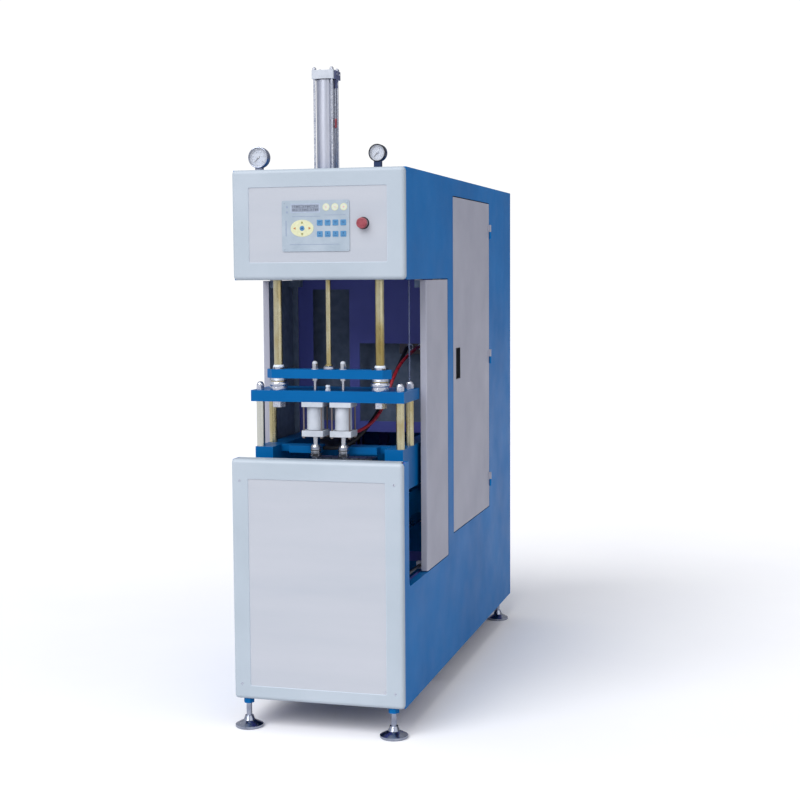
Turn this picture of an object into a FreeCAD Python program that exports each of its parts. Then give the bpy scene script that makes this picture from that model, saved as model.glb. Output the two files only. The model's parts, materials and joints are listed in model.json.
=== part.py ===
"""Semi-automatic two-cavity stretch blow moulding machine.

Millimetres.  X is across the machine, Y runs from the operator's end (low) to the rear (high),
Z is up from the floor.  The origin is on the floor, midway between the front of the feet and the
back of the casing.
The rest pose is the machine with no air: crosshead and nozzles down, mould open, doors as parked.
"""
import FreeCAD, Part
import math
import os

os.makedirs("parts", exist_ok=True)

V = FreeCAD.Vector
X_AXIS = V(1, 0, 0)
Y_AXIS = V(0, 1, 0)
Z_AXIS = V(0, 0, 1)
SIDES = (-1, 1)

# ---------------------------------------------------------------- overall sizes
WIDTH = 630.0             # casing, outside of one side panel to the other
LENGTH = 1944.0           # front of the base cover to the back of the casing
FLOOR_GAP = 107.0         # underside of the casing above the floor
BASE_TOP = 972.0          # top of the base cover
BASE_STEP = 48.0          # how far the base cover stands in front of the head
HEAD_BOTTOM = 1601.0
HEAD_HEIGHT = 385.0
HEAD_BAY = 44.0           # under the head's frame, for the guard doors' upper guide bars
SHEET = 3.0               # casing sheet
TUBE = 40.0               # frame tube, square
TUBE_WALL = 3.0
CLEAR = 0.2               # gap round a part that is fixed in its hole
RUN = 0.05                # radial running clearance
PLAY = 1.0                # gap between a stop and what rests on it
CUSHION = 5.0             # left over at each end of an air cylinder's stroke
REAR_INSET = 5.0          # the rear panel sits inside the casing's edge
POST_GAP = 2.0            # between a front cover and the post behind it
MID_POST_GAP = 6.0        # between the side opening and the post behind it
HINGE_POST_GAP = 16.0     # between a cabinet door and the post behind it

# ---------------------------------------------------------------- operator end
COVER_DEPTH = 20.0        # how far a front cover wraps round the sides
COVER_EDGE_R = 14.0
COVER_SHEET = 2.5
LEDGE = 58.0              # depth of the flat top of the base cover
WINDOW_SIDE = 62.0        # window in a front cover, from the side of the casing
WINDOW_R = 6.0
HEAD_BORDER = (60.0, 61.0)    # window from the bottom and the top of the head cover
BASE_BORDER = (49.0, 69.0)
INSET_SHEET = 2.0
INSET_LAP = 7.0           # how far an inset sheet laps behind its cover
KEYPAD_SIZE = (246.0, 176.0)
KEYPAD_OFF = (-5.0, -5.0)     # from the middle of the window
KEYPAD_T = 3.0
KEYPAD_BOX = (220.0, 150.0, 60.0)
STOP_OFF = (167.0, 2.0)   # from the middle of the window
STOP_HEAD_R = 19.0
STOP_HEAD_T = 12.0
STOP_HEAD_EDGE = 4.0
STOP_STEM_R = 8.0
STOP_TRAVEL = 6.0
STOP_COLLAR_R = 15.0
STOP_BODY_R = 11.0
STOP_BODY_L = 38.0

# ---------------------------------------------------------------- side openings and doors
OPEN_Y = (34.0, 634.0)    # from the face of the head
OPEN_Z = 526.0
OPEN_R = 22.0
OPEN_FLANGE = 25.0
GUARD_L = 333.0
GUARD_PARK = 2.0          # behind a parked guard door
GUARD_TRAVEL = 250.0
GUARD_GAP = 4.0           # above and below a guard door
GUARD_T = 24.0
GUARD_EDGE_R = 5.0
DOOR_SHEET = 2.0
RAIL_R = 6.0
RAIL_INSET = 12.0         # guide bar behind the inside face of the guard door
RAIL_UP = 17.0            # guide bars above the foot of the door and above the foot of the head
LUG = (30.0, 24.0)        # along Y, along Z
DOOR_AFTER = 88.0         # front of a cabinet door behind the side opening
DOOR_L = 692.0
DOOR_BOTTOM = 597.0
DOOR_BELOW_TOP = 66.0
DOOR_GAP = (4.0, 5.0)     # latch side and ends, hinge side
DOOR_T = 20.0
HINGE_R = 5.0
HINGE_PIN_R = 2.5
HINGE_OUT = 5.0           # hinge axis outside the casing
HINGE_LEAF = (29.0, 3.0)
HINGE_L = 60.0
HINGE_END = 123.0         # outer hinges from the ends of the door
PULL_Z = (1203.0, 1327.0)
PULL_W = 77.0
PULL_DEPTH = 14.0
PULL_INSET = 43.0         # from the door's edge to the pull
PULL_WALL = 2.0
PULL_LIP = 4.0

# ---------------------------------------------------------------- press
PRESS_Y = 118.0           # press axis, behind the face of the head
PITCH = 105.0             # between the two cavities
PLATE_BOTTOM = 1166.0     # sealing plate
PLATE_T = 40.0
PLATE_GAP = 5.0           # between the sealing plate and a guard door
PLATE_Y = (-33.0, 182.0)  # front and back of the plate, from the press axis
PILLAR_R = 15.0
PILLAR_STUD_R = 9.0
PILLAR_IN = 10.0          # pillar axis inside the frame posts
PILLAR_Y = (2.0, 134.0)   # from the press axis
ACORN = (26.0, 34.0)
GUIDE_IN = 72.0           # guide rod axis inside the pillars
GUIDE_R = 16.0
COLLAR_OUT = 13.0         # collar round a guide rod
GUIDE_NUT = (5.0, 21.0)   # wall, height
CROSS_GAP = 44.0          # crosshead above the sealing plate, at rest
CROSS_T = 32.0
CROSS_DEPTH = 60.0
CROSS_END = 42.0          # crosshead beyond the guide rod axis
CROSS_CHAMFER = 25.0
STROKE = 280.0
BUSH_WALL = 5.0
BUSH_NECK = 8.0
BUSH_FLANGE = (14.0, 9.0)     # beyond the guide rod, height
BEAM_T = 30.0
BEAM_FRONT = 68.0         # front of the press beam, before the press axis
STRETCH_R = 5.0
STRETCH_FLOOR = 4.0       # tip of a stretch rod above the floor of its cavity
STRETCH_NUT = (20.0, 30.0)
ROD_R = 9.0
ROD_COLLAR = (4.0, 18.0)  # beyond the rod, height
ROD_SPACE = 3.0           # between the piston rod and the crossbars beside it

# ---------------------------------------------------------------- stretch cylinder on the roof
CYL_CAP = 80.0
CYL_CAP_T = 30.0
CYL_TUBE_R = (31.5, 34.0)
CYL_TIE_OFFSET = 32.0
CYL_TIE_R = 4.0
CYL_NUT = (13.0, 11.0)
CYL_EDGE = 3.0
PISTON_T = 25.0

# ---------------------------------------------------------------- sealing cylinders and nozzles
SEAL_CAP = 80.0
SEAL_CAP_T = (17.0, 21.0)     # top, bottom
SEAL_TUBE_R = (27.0, 30.5)
SEAL_TUBE_L = 85.0
SEAL_TIE_OFFSET = 33.0
SEAL_TIE_R = 3.0
SEAL_NUT = (10.0, 6.0)
NOZZLE_PLAY = 1.5         # round a stretch rod in a nozzle's bore
NOZZLE_R = 19.0
NOZZLE_L = 46.0
NOZZLE_LIFT = 28.0
NOZZLE_PISTON_T = 15.0

# ---------------------------------------------------------------- mould bed and clamp
RAIL_W = 67.0
RAIL_Z = (850.0, 1000.0)
RAIL_FRONT = 18.0         # front of a bed rail's full height, before the press axis
NECK_T = 25.0
NECK_Y = (32.0, 72.0, 112.0)  # front, step and back of a neck plate, from the press axis
NECK_X = 55.0             # half the gap between the neck plates
NECK_STEP = 44.0          # the front part of a neck plate stops short of the rail
PLATEN_T = 35.0
PLATEN_TOP = 925.0
PLATEN_GAP = 5.0          # between a fixed platen and the guard doors' guide bars
SHOULDER_GAP = 10.0       # moving platen under the bed rails
MOVING_HALF = 200.0
MOVING_H = 220.0          # from the moving platen's shoulder to its lower edge
MOVING_LAP = 10.0         # moving platen beyond the mould
MOULD_WALL = 30.0         # outside the outer cavities
MOULD_Z = (674.0, 944.0)
MOULD_OPEN = 150.0
BOTTLE_R = 32.5
BOTTLE_BODY = 150.0
BOTTLE_SHOULDER = 40.0
BOTTLE_NECK = 40.0
NECK_R = 13.0
TIE_X = 175.0
TIE_DROP = (180.0, 40.0)  # tie bars below the moving platen's shoulder
TIE_R = 20.0
TIE_NUT = (58.0, 28.0)
BULKHEAD_AFTER = 66.0     # bulkhead behind the side opening
BULKHEAD_T = 40.0
CLAMP_R = (75.0, 92.0)
CLAMP_CAP = 22.0
CLAMP_ROD_R = 35.0
CLAMP_PISTON_T = 30.0

# ---------------------------------------------------------------- feet
FOOT_IN = 45.0            # foot axis inside the casing's side
FOOT_FRONT = 20.0         # front foot axis, before the face of the head
FOOT_REAR = 86.0          # rear foot axis inside the back of the casing
FOOT_SHAPE = ((50.0, 10.0), (35.0, 18.0), (21.0, 25.0), (15.0, 42.0))     # radius, height
FOOT_EDGE = 3.0
STEM_R = 10.0
FOOT_NUT = (34.0, 18.0)

# ---------------------------------------------------------------- gauges and air
GAUGES = {"left": (84.0, 46.0, 36.5), "right": (110.0, 51.0, 30.0)}   # from the side, height, radius
GAUGE_Y = 46.0
GAUGE_DEPTH = 28.0
GAUGE_WALL = 3.0
GAUGE_DISH = 9.0
GAUGE_BLOCK = 24.0
POINTER_T = 1.0
POINTER_HUB_R = 3.0
POINTER_REACH = 0.75          # of the dial's radius
POINTER_ZERO = 225.0          # degrees, from +X, as the operator sees the dial
SPINDLE_R = 1.5
MANIFOLD = (120.0, 215.0, 50.0, 80.0)     # x from, x to, depth, height
MANIFOLD_SHOWS = 40.0         # how much of its height shows in the low opening
PORT_DROP = 12.0              # hose ports below the top of the low opening
PORT_X = (205.0, 165.0)       # red, black
WALL_GAP_Z = 1045.0           # lower edge of both openings in the back wall
WALL_BOTTOM = 1003.0
WALL_LEFT = (-232.0, -82.0)
WALL_LEFT_DROP = 41.0         # tall opening below the head
WALL_RIGHT = (-41.0, 225.0)
WALL_RIGHT_TOP = 1350.0
RED_END = 31.5                # beside the right sealing cylinder's axis
HOSE_R = {"air_hose_red": 6.0, "air_hose_black": 7.0, "air_tube_clear": 3.0}

# ---------------------------------------------------------------- places that follow from the sizes
HALF = WIDTH / 2
INNER = HALF - SHEET                     # inside face of a side panel
TUBE_X = INNER - TUBE                    # inside face of a frame post
FOOT_R = FOOT_SHAPE[0][0]
FOOT_PROUD = FOOT_R + FOOT_FRONT - BASE_STEP     # front feet in front of the base cover
FRONT = (FOOT_PROUD - LENGTH) / 2        # front of the base cover
HEAD_Y = FRONT + BASE_STEP               # face of the head
REAR = FRONT + LENGTH
REAR_FACE = REAR - REAR_INSET
AXIS_Y = HEAD_Y + PRESS_Y
HEAD_TOP = HEAD_BOTTOM + HEAD_HEIGHT
HEAD_FRAME = HEAD_BOTTOM + HEAD_BAY
FIRST_POST = FRONT + COVER_DEPTH + POST_GAP
HEAD_POST = HEAD_Y + COVER_DEPTH + POST_GAP
OPEN_END = HEAD_Y + OPEN_Y[1]
MID_POST = OPEN_END + MID_POST_GAP
WALL_Y = MID_POST - SHEET
DOOR_Y = (OPEN_END + DOOR_AFTER, OPEN_END + DOOR_AFTER + DOOR_L)
DOOR_Z = (DOOR_BOTTOM, HEAD_TOP - DOOR_BELOW_TOP)
HINGE_Z = (DOOR_Z[0] + HINGE_END, (DOOR_Z[0] + DOOR_Z[1]) / 2, DOOR_Z[1] - HINGE_END)
DOOR_POST = DOOR_Y[1] + HINGE_POST_GAP
LEAF_Y = DOOR_Y[1] - DOOR_GAP[1] / 2     # hinge axis
LAST_POST = REAR_FACE - SHEET - TUBE
BASE_RAIL = FLOOR_GAP
BED_RAIL = OPEN_Z - SHEET - TUBE
TOP_RAIL = HEAD_TOP - SHEET - TUBE
WINDOW_HALF = HALF - WINDOW_SIDE
HEAD_WINDOW_Z = (HEAD_BOTTOM + HEAD_BORDER[0], HEAD_TOP - HEAD_BORDER[1])
BASE_WINDOW_Z = (FLOOR_GAP + BASE_BORDER[0], BASE_TOP - BASE_BORDER[1])
WINDOW_MIDDLE = (HEAD_WINDOW_Z[0] + HEAD_WINDOW_Z[1]) / 2
KEYPAD_AT = (KEYPAD_OFF[0], WINDOW_MIDDLE + KEYPAD_OFF[1])
STOP_AT = (STOP_OFF[0], WINDOW_MIDDLE + STOP_OFF[1])
GUARD_X = HALF - GUARD_T                 # inside face of a guard door
GUARD_Y = (OPEN_END - GUARD_PARK - GUARD_L, OPEN_END - GUARD_PARK)
GUARD_Z = (OPEN_Z + GUARD_GAP, HEAD_BOTTOM - GUARD_GAP)
BAR_X = GUARD_X - RAIL_INSET
BAR_Z = (GUARD_Z[0] + RAIL_UP, HEAD_BOTTOM + RAIL_UP)
BAR_STOP = GUARD_Y[0] + LUG[0] / 2 - GUARD_TRAVEL - PLAY     # a door's front lugs stop here
PLATE_Z = (PLATE_BOTTOM, PLATE_BOTTOM + PLATE_T)
PLATE_HALF = GUARD_X - PLATE_GAP
PILLAR_X = TUBE_X - PILLAR_IN
PILLARS = [(side * PILLAR_X, AXIS_Y + y) for side in SIDES for y in PILLAR_Y]
GUIDE_X = PILLAR_X - GUIDE_IN
GUIDES = [(side * GUIDE_X, AXIS_Y) for side in SIDES]
CAVITIES = [(side * PITCH / 2, AXIS_Y) for side in SIDES]
CROSS_Z = (PLATE_Z[1] + CROSS_GAP, PLATE_Z[1] + CROSS_GAP + CROSS_T)
BUSH_BOTTOM = CROSS_Z[0] - BUSH_FLANGE[1]
BEAM_Z = (HEAD_FRAME, HEAD_FRAME + BEAM_T)
CYL_SEAT = HEAD_TOP - CYL_CAP_T          # the lower cap is let into the roof
CYL_TUBE_Z = (HEAD_TOP, HEAD_TOP + STROKE + PISTON_T + 2 * CUSHION)
CYL_TOP = CYL_TUBE_Z[1] + CYL_CAP_T
SEAL_TUBE_TOP = PLATE_Z[0] - SEAL_CAP_T[0]
SEAL_TUBE_BOTTOM = SEAL_TUBE_TOP - SEAL_TUBE_L
SEAL_BOTTOM = SEAL_TUBE_BOTTOM - SEAL_CAP_T[1]
NOZZLE_TOP = SEAL_BOTTOM - NOZZLE_LIFT - CUSHION
RAIL_X = (PILLAR_X + PILLAR_R - RAIL_W, PILLAR_X + PILLAR_R)
NECK_Z = (RAIL_Z[1] - NECK_T, RAIL_Z[1])
PLATEN_Y = FIRST_POST + TUBE
FIXED_HALF = BAR_X - RAIL_R - PLATEN_GAP
SHOULDER = RAIL_Z[0] - SHOULDER_GAP
TIE_Z = (SHOULDER - TIE_DROP[0], SHOULDER - TIE_DROP[1])
CLAMP_Z = (TIE_Z[0] + TIE_Z[1]) / 2
MOULD_T = AXIS_Y - PLATEN_Y - PLATEN_T
MOULD_HALF = PITCH / 2 + BOTTLE_R + MOULD_WALL
MOVING_Y = AXIS_Y + MOULD_T + MOULD_OPEN
CLAMP_Y = OPEN_END + BULKHEAD_AFTER + BULKHEAD_T
CLAMP_L = MOULD_OPEN + CLAMP_PISTON_T + 2 * CLAMP_CAP + 2 * CUSHION
CAVITY_FLOOR = MOULD_Z[1] - BOTTLE_NECK - BOTTLE_SHOULDER - BOTTLE_BODY
STRETCH_TIP = CAVITY_FLOOR + STRETCH_FLOOR + STRETCH_R
PORT_Z = WALL_RIGHT_TOP - PORT_DROP


# ---------------------------------------------------------------- helpers
def box(x, y, z):
    """A block between two values on each axis."""
    return Part.makeBox(x[1] - x[0], y[1] - y[0], z[1] - z[0], V(x[0], y[0], z[0]))


def cyl(radius, start, end):
    """A round bar between two points."""
    a = V(*start)
    along = V(*end) - a
    return Part.makeCylinder(radius, along.Length, a, along)


def ring(outer, inner, start, end):
    """A round tube between two points."""
    return cyl(outer, start, end).cut(cyl(inner, start, end))


def hexagon(across, start, end):
    """A hexagonal bar between two points, along Y or Z."""
    a = V(*start)
    along = V(*end) - a
    corner = across / math.sqrt(3)
    side_on = Z_AXIS if abs(along.y) > abs(along.z) else Y_AXIS
    angles = [math.radians(60 * i) for i in range(7)]
    points = [a + X_AXIS * (corner * math.cos(t)) + side_on * (corner * math.sin(t)) for t in angles]
    return Part.Face(Part.makePolygon(points)).extrude(along)


def revolve(points, at):
    """A turned piece about the vertical axis through `at`, from (radius, height) points."""
    corners = [V(at[0] + r, at[1], z) for r, z in points]
    face = Part.Face(Part.makePolygon(corners + corners[:1]))
    return face.revolve(V(at[0], at[1], 0), Z_AXIS, 360)


def rounded(shape, radius, pick):
    """Fillets the straight edges that `pick` chooses by their two end points."""
    edges = []
    for edge in shape.Edges:
        if len(edge.Vertexes) == 2:
            a, b = edge.Vertexes[0].Point, edge.Vertexes[1].Point
            if pick(a, b):
                edges.append(edge)
    return shape.makeFillet(radius, edges)


def along_x(a, b):
    return abs(a.y - b.y) < RUN and abs(a.z - b.z) < RUN


def along_y(a, b):
    return abs(a.x - b.x) < RUN and abs(a.z - b.z) < RUN


def along_z(a, b):
    return abs(a.x - b.x) < RUN and abs(a.y - b.y) < RUN


def mirrored(shape):
    return shape.mirror(V(0, 0, 0), X_AXIS)


def for_side(shape, side):
    """`shape` is made for the right side; the left one is its mirror image."""
    return shape if side > 0 else mirrored(shape)


def both(shape):
    return [shape, mirrored(shape)]


def save(name, shapes):
    """Writes one node, from a shape or from a list of separate solids."""
    shapes = shapes if isinstance(shapes, list) else [shapes]
    solids = [solid for shape in shapes for solid in shape.Solids]
    whole = solids[0] if len(solids) == 1 else Part.makeCompound(solids)
    whole.exportStep("parts/%s.step" % name)
    volume = sum(solid.Volume for solid in solids) / 1000
    print("%-28s solids %2d  volume %9.1f cm3" % (name, len(solids), volume))


def square_tube(x, y, z):
    """A hollow square tube along its longest side."""
    spans = [x[1] - x[0], y[1] - y[0], z[1] - z[0]]
    long_way = spans.index(max(spans))
    inside = [x, y, z]
    for i in range(3):
        if i != long_way:
            inside[i] = (inside[i][0] + TUBE_WALL, inside[i][1] - TUBE_WALL)
    return box(x, y, z).cut(box(*inside))


# ---------------------------------------------------------------- frame and casing
def frame_posts():
    x = (TUBE_X, INNER)
    full = (FLOOR_GAP, HEAD_TOP - SHEET)
    posts = [square_tube(x, (FIRST_POST, FIRST_POST + TUBE), (FLOOR_GAP, BASE_TOP - SHEET))]
    for y in (MID_POST, DOOR_POST, LAST_POST):
        posts.append(square_tube(x, (y, y + TUBE), full))
    posts.append(square_tube(x, (HEAD_POST, HEAD_POST + TUBE), (HEAD_FRAME, HEAD_TOP - SHEET)))
    return [shape for post in posts for shape in both(post)]


def frame_rails():
    """Tubes along the machine, between the posts."""
    x = (TUBE_X, INNER)
    front = FIRST_POST + TUBE
    head = HEAD_POST + TUBE
    bays = [(MID_POST + TUBE, DOOR_POST), (DOOR_POST + TUBE, LAST_POST)]
    runs = [(BASE_RAIL, (front, MID_POST)), (BED_RAIL, (front, MID_POST))]
    runs += [(HEAD_FRAME, (head, MID_POST)), (TOP_RAIL, (head, MID_POST))]
    runs += [(z, bay) for z in (BASE_RAIL, BED_RAIL, TOP_RAIL) for bay in bays]
    rails = [square_tube(x, y, (z, z + TUBE)) for z, y in runs]
    return [shape for rail in rails for shape in both(rail)]


def frame_crossbars():
    """Tubes across the machine: under the platens, at the corners and under the stretch cylinder."""
    x = (-TUBE_X, TUBE_X)
    beside_rod = ROD_R + ROD_SPACE
    places = [(FIRST_POST, BASE_RAIL), (LAST_POST, BASE_RAIL), (LAST_POST, TOP_RAIL)]
    places += [(MID_POST, BASE_RAIL), (MID_POST, TOP_RAIL), (DOOR_POST, BASE_RAIL)]
    places += [(PLATEN_Y, BED_RAIL), (CLAMP_Y - TUBE, BED_RAIL)]
    places += [(AXIS_Y - beside_rod - TUBE, CYL_SEAT - TUBE), (AXIS_Y + beside_rod, CYL_SEAT - TUBE)]
    return [square_tube(x, (y, y + TUBE), (z, z + TUBE)) for y, z in places]


def side_panel(side):
    """One sheet per side, cut out for the mould space and the cabinet door, edges folded in."""
    skin = (INNER, HALF)
    base_y = FRONT + COVER_DEPTH
    head_y = HEAD_Y + COVER_DEPTH
    panel = box(skin, (base_y, REAR), (FLOOR_GAP, BASE_TOP - SHEET))
    panel = panel.fuse(box(skin, (head_y, REAR), (BASE_TOP - SHEET, HEAD_TOP - SHEET)))

    def mould_space(grow, x):
        front = HEAD_Y + OPEN_Y[0] - grow
        block = box(x, (front, OPEN_END), (OPEN_Z - grow, HEAD_BOTTOM))
        low_front = lambda a, b: along_x(a, b) and a.y < front + RUN and a.z < OPEN_Z + RUN
        return rounded(block, OPEN_R + grow, low_front)

    panel = panel.cut(mould_space(0, skin))
    panel = panel.cut(box(skin, (base_y, OPEN_END), (BASE_TOP - SHEET, HEAD_BOTTOM)))
    lip = (INNER - OPEN_FLANGE, INNER)
    folded = mould_space(SHEET, lip).cut(mould_space(0, lip))
    folded = folded.common(box(lip, (base_y, OPEN_END), (0, BASE_TOP - SHEET)))
    panel = panel.fuse(folded).cut(box(skin, DOOR_Y, DOOR_Z)).removeSplitter()
    for z in HINGE_Z:
        panel = panel.fuse(hinge_leaf(z - HINGE_L / 2, 1))
    return for_side(panel, side)


def roof_panel():
    """One sheet, cut out for the stretch cylinder's lower cap."""
    z = (HEAD_TOP - SHEET, HEAD_TOP)
    half = CYL_CAP / 2 + CLEAR
    sheet = box((-HALF, HALF), (HEAD_Y + COVER_DEPTH, REAR), z)
    return sheet.cut(box((-half, half), (AXIS_Y - half, AXIS_Y + half), z))


def rear_panel():
    return box((-INNER, INNER), (REAR_FACE - SHEET, REAR_FACE), (FLOOR_GAP, HEAD_TOP - SHEET))


def chamber_back_wall():
    """Sheet behind the mould space, with a tall and a low opening into the rear of the casing."""
    y = (WALL_Y, MID_POST)
    half = GUARD_X - PLAY
    wall = box((-half, half), y, (WALL_BOTTOM, HEAD_BOTTOM))
    wall = wall.cut(box(WALL_LEFT, y, (WALL_GAP_Z, HEAD_BOTTOM - WALL_LEFT_DROP)))
    return wall.cut(box(WALL_RIGHT, y, (WALL_GAP_Z, WALL_RIGHT_TOP)))


def cover(y, z, window):
    """A front cover: a pan with rounded edges and a window for its inset sheet."""
    def pan(inset, depth):
        x = (-HALF + inset, HALF - inset)
        block = box(x, (y + inset, y + depth), (z[0] + inset, z[1] - inset))
        front = lambda a, b: a.y < y + inset + RUN and b.y < y + inset + RUN
        block = rounded(block, COVER_EDGE_R - inset, lambda a, b: front(a, b) or along_y(a, b))
        return block

    shell = pan(0, COVER_DEPTH).cut(pan(COVER_SHEET, COVER_DEPTH + PLAY))
    hole = box((-WINDOW_HALF, WINDOW_HALF), (y - PLAY, y + COVER_SHEET + PLAY), window)
    return shell.cut(rounded(hole, WINDOW_R, along_y))


def head_cap():
    return cover(HEAD_Y, (HEAD_BOTTOM, HEAD_TOP), HEAD_WINDOW_Z)


def base_cap():
    """The base cover, whose top runs back as a flat ledge."""
    ledge = box((-HALF + COVER_EDGE_R, HALF - COVER_EDGE_R), (FRONT + COVER_EDGE_R, FRONT + LEDGE),
                (BASE_TOP - COVER_SHEET, BASE_TOP))
    return cover(FRONT, (FLOOR_GAP, BASE_TOP), BASE_WINDOW_Z).fuse(ledge).removeSplitter()


def inset_sheet(y, window):
    half = WINDOW_HALF + INSET_LAP
    face = y + COVER_SHEET
    return box((-half, half), (face, face + INSET_SHEET), (window[0] - INSET_LAP, window[1] + INSET_LAP))


def keypad_body(grow):
    width, height, depth = KEYPAD_BOX
    face = HEAD_Y + COVER_SHEET
    return box((KEYPAD_AT[0] - width / 2 - grow, KEYPAD_AT[0] + width / 2 + grow), (face, face + depth),
               (KEYPAD_AT[1] - height / 2 - grow, KEYPAD_AT[1] + height / 2 + grow))


def head_front_panel():
    sheet = inset_sheet(HEAD_Y, HEAD_WINDOW_Z).cut(keypad_body(CLEAR))
    x, z = STOP_AT
    return sheet.cut(cyl(STOP_BODY_R + CLEAR, (x, HEAD_Y, z), (x, HEAD_Y + STOP_BODY_L, z)))


def control_keypad():
    """Sealed controller: membrane face in front of the sheet, box behind it."""
    width, height = KEYPAD_SIZE
    face = HEAD_Y + COVER_SHEET
    plate = box((KEYPAD_AT[0] - width / 2, KEYPAD_AT[0] + width / 2), (face - KEYPAD_T, face),
                (KEYPAD_AT[1] - height / 2, KEYPAD_AT[1] + height / 2))
    return rounded(plate, WINDOW_R, along_y).fuse(keypad_body(0)).removeSplitter()


def stop_button_socket():
    x, z = STOP_AT
    face = HEAD_Y + COVER_SHEET
    collar = cyl(STOP_COLLAR_R, (x, face - STOP_TRAVEL, z), (x, face, z))
    body = cyl(STOP_BODY_R, (x, face, z), (x, face + STOP_BODY_L, z))
    stem_way = STOP_BODY_L - STOP_TRAVEL
    bore = cyl(STOP_STEM_R + RUN, (x, face - STOP_TRAVEL, z), (x, face + stem_way, z))
    return collar.fuse(body).removeSplitter().cut(bore)


def stop_button():
    """Mushroom head on a stem; it travels STOP_TRAVEL until the head meets the collar."""
    x, z = STOP_AT
    back = HEAD_Y + COVER_SHEET - 2 * STOP_TRAVEL - PLAY
    head = cyl(STOP_HEAD_R, (x, back - STOP_HEAD_T, z), (x, back, z))
    at_front = lambda edge: edge.Vertexes[0].Point.y < back - STOP_HEAD_T + RUN
    head = head.makeFillet(STOP_HEAD_EDGE, [e for e in head.Edges if len(e.Vertexes) == 1 and at_front(e)])
    stem = cyl(STOP_STEM_R, (x, back - PLAY, z), (x, back + STOP_BODY_L / 2, z))
    return head.fuse(stem).removeSplitter()


# ---------------------------------------------------------------- doors
def guard_door(side):
    """Folded pan that slides along Y on two guide bars; its upper lugs reach up into the head."""
    y = GUARD_Y
    pan = box((GUARD_X, HALF), y, GUARD_Z)
    pan = rounded(pan, GUARD_EDGE_R, lambda a, b: along_z(a, b) and a.x > HALF - RUN)
    inside = box((GUARD_X, HALF - DOOR_SHEET), (y[0] + DOOR_SHEET, y[1] - DOOR_SHEET),
                 (GUARD_Z[0] + DOOR_SHEET, GUARD_Z[1] - DOOR_SHEET))
    inside_r = GUARD_EDGE_R - DOOR_SHEET
    inside = rounded(inside, inside_r, lambda a, b: along_z(a, b) and a.x > GUARD_X + RUN)
    pan = pan.cut(inside)
    inner = BAR_X - RAIL_INSET
    lug_top = GUARD_Z[1] - DOOR_SHEET
    for lug_y in (y[0] + LUG[0], y[1] - LUG[0]):
        span = (lug_y - LUG[0] / 2, lug_y + LUG[0] / 2)
        pan = pan.fuse(box((inner, HALF - DOOR_SHEET), span, (BAR_Z[0] - LUG[1] / 2, BAR_Z[0] + LUG[1] / 2)))
        pan = pan.fuse(box((inner, HALF - DOOR_SHEET), span, (lug_top - LUG[1], lug_top)))
        pan = pan.fuse(box((inner, GUARD_X), span, (lug_top - LUG[1], BAR_Z[1] + LUG[1] / 2)))
    pan = pan.removeSplitter()
    for bar_z in BAR_Z:
        pan = pan.cut(cyl(RAIL_R + RUN, (BAR_X, y[0] - PLAY, bar_z), (BAR_X, y[1] + PLAY, bar_z)))
    return for_side(pan, side)


def guard_rails():
    """Guide bars for the guard doors; the upper ones hang in the head from a block, their front stop."""
    front = BAR_STOP - RAIL_INSET
    low = cyl(RAIL_R, (BAR_X, FIRST_POST + TUBE, BAR_Z[0]), (BAR_X, MID_POST, BAR_Z[0]))
    high = cyl(RAIL_R, (BAR_X, front, BAR_Z[1]), (BAR_X, MID_POST, BAR_Z[1]))
    hanger = box((BAR_X - RAIL_INSET, GUARD_X), (front, BAR_STOP), (BAR_Z[1] - RAIL_INSET, HEAD_FRAME))
    return both(low) + both(high.fuse(hanger).removeSplitter())


def hinge_leaf(bottom, reach):
    """Half of a leaf hinge with its knuckle; reach is +1 on the casing and -1 on the door."""
    axis_x = HALF + HINGE_OUT
    top = bottom + HINGE_L / 2 - CLEAR
    y = sorted((LEAF_Y, LEAF_Y + reach * HINGE_LEAF[0]))
    leaf = box((HALF, HALF + HINGE_LEAF[1]), y, (bottom, top))
    knuckle = cyl(HINGE_R - CLEAR, (axis_x, LEAF_Y, bottom), (axis_x, LEAF_Y, top))
    bore = cyl(HINGE_PIN_R + RUN, (axis_x, LEAF_Y, bottom), (axis_x, LEAF_Y, top))
    return leaf.fuse(knuckle).removeSplitter().cut(bore)


def hinge_pins():
    axis_x = HALF + HINGE_OUT
    pins = []
    for z in HINGE_Z:
        pin = cyl(HINGE_PIN_R, (axis_x, LEAF_Y, z - HINGE_L / 2), (axis_x, LEAF_Y, z + HINGE_L / 2))
        pins += both(pin)
    return pins


def pull_frame():
    """Y and Z limits of the pull's cup."""
    y0 = DOOR_Y[0] + DOOR_GAP[0] + PULL_INSET
    return (y0, y0 + PULL_W), PULL_Z


def tall_door(side):
    """Folded pan of the rear cabinet, hinged at its rear edge."""
    y = (DOOR_Y[0] + DOOR_GAP[0], DOOR_Y[1] - DOOR_GAP[1])
    z = (DOOR_Z[0] + DOOR_GAP[0], DOOR_Z[1] - DOOR_GAP[0])
    pan = box((HALF - DOOR_T, HALF), y, z)
    inside = box((HALF - DOOR_T, HALF - DOOR_SHEET), (y[0] + DOOR_SHEET, y[1] - DOOR_SHEET),
                 (z[0] + DOOR_SHEET, z[1] - DOOR_SHEET))
    cup_y, cup_z = pull_frame()
    hole = box((HALF - DOOR_T, HALF), cup_y, cup_z)
    pan = pan.cut(inside).cut(hole)
    for hinge_z in HINGE_Z:
        pan = pan.fuse(hinge_leaf(hinge_z, -1))
    return for_side(pan, side)


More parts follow.
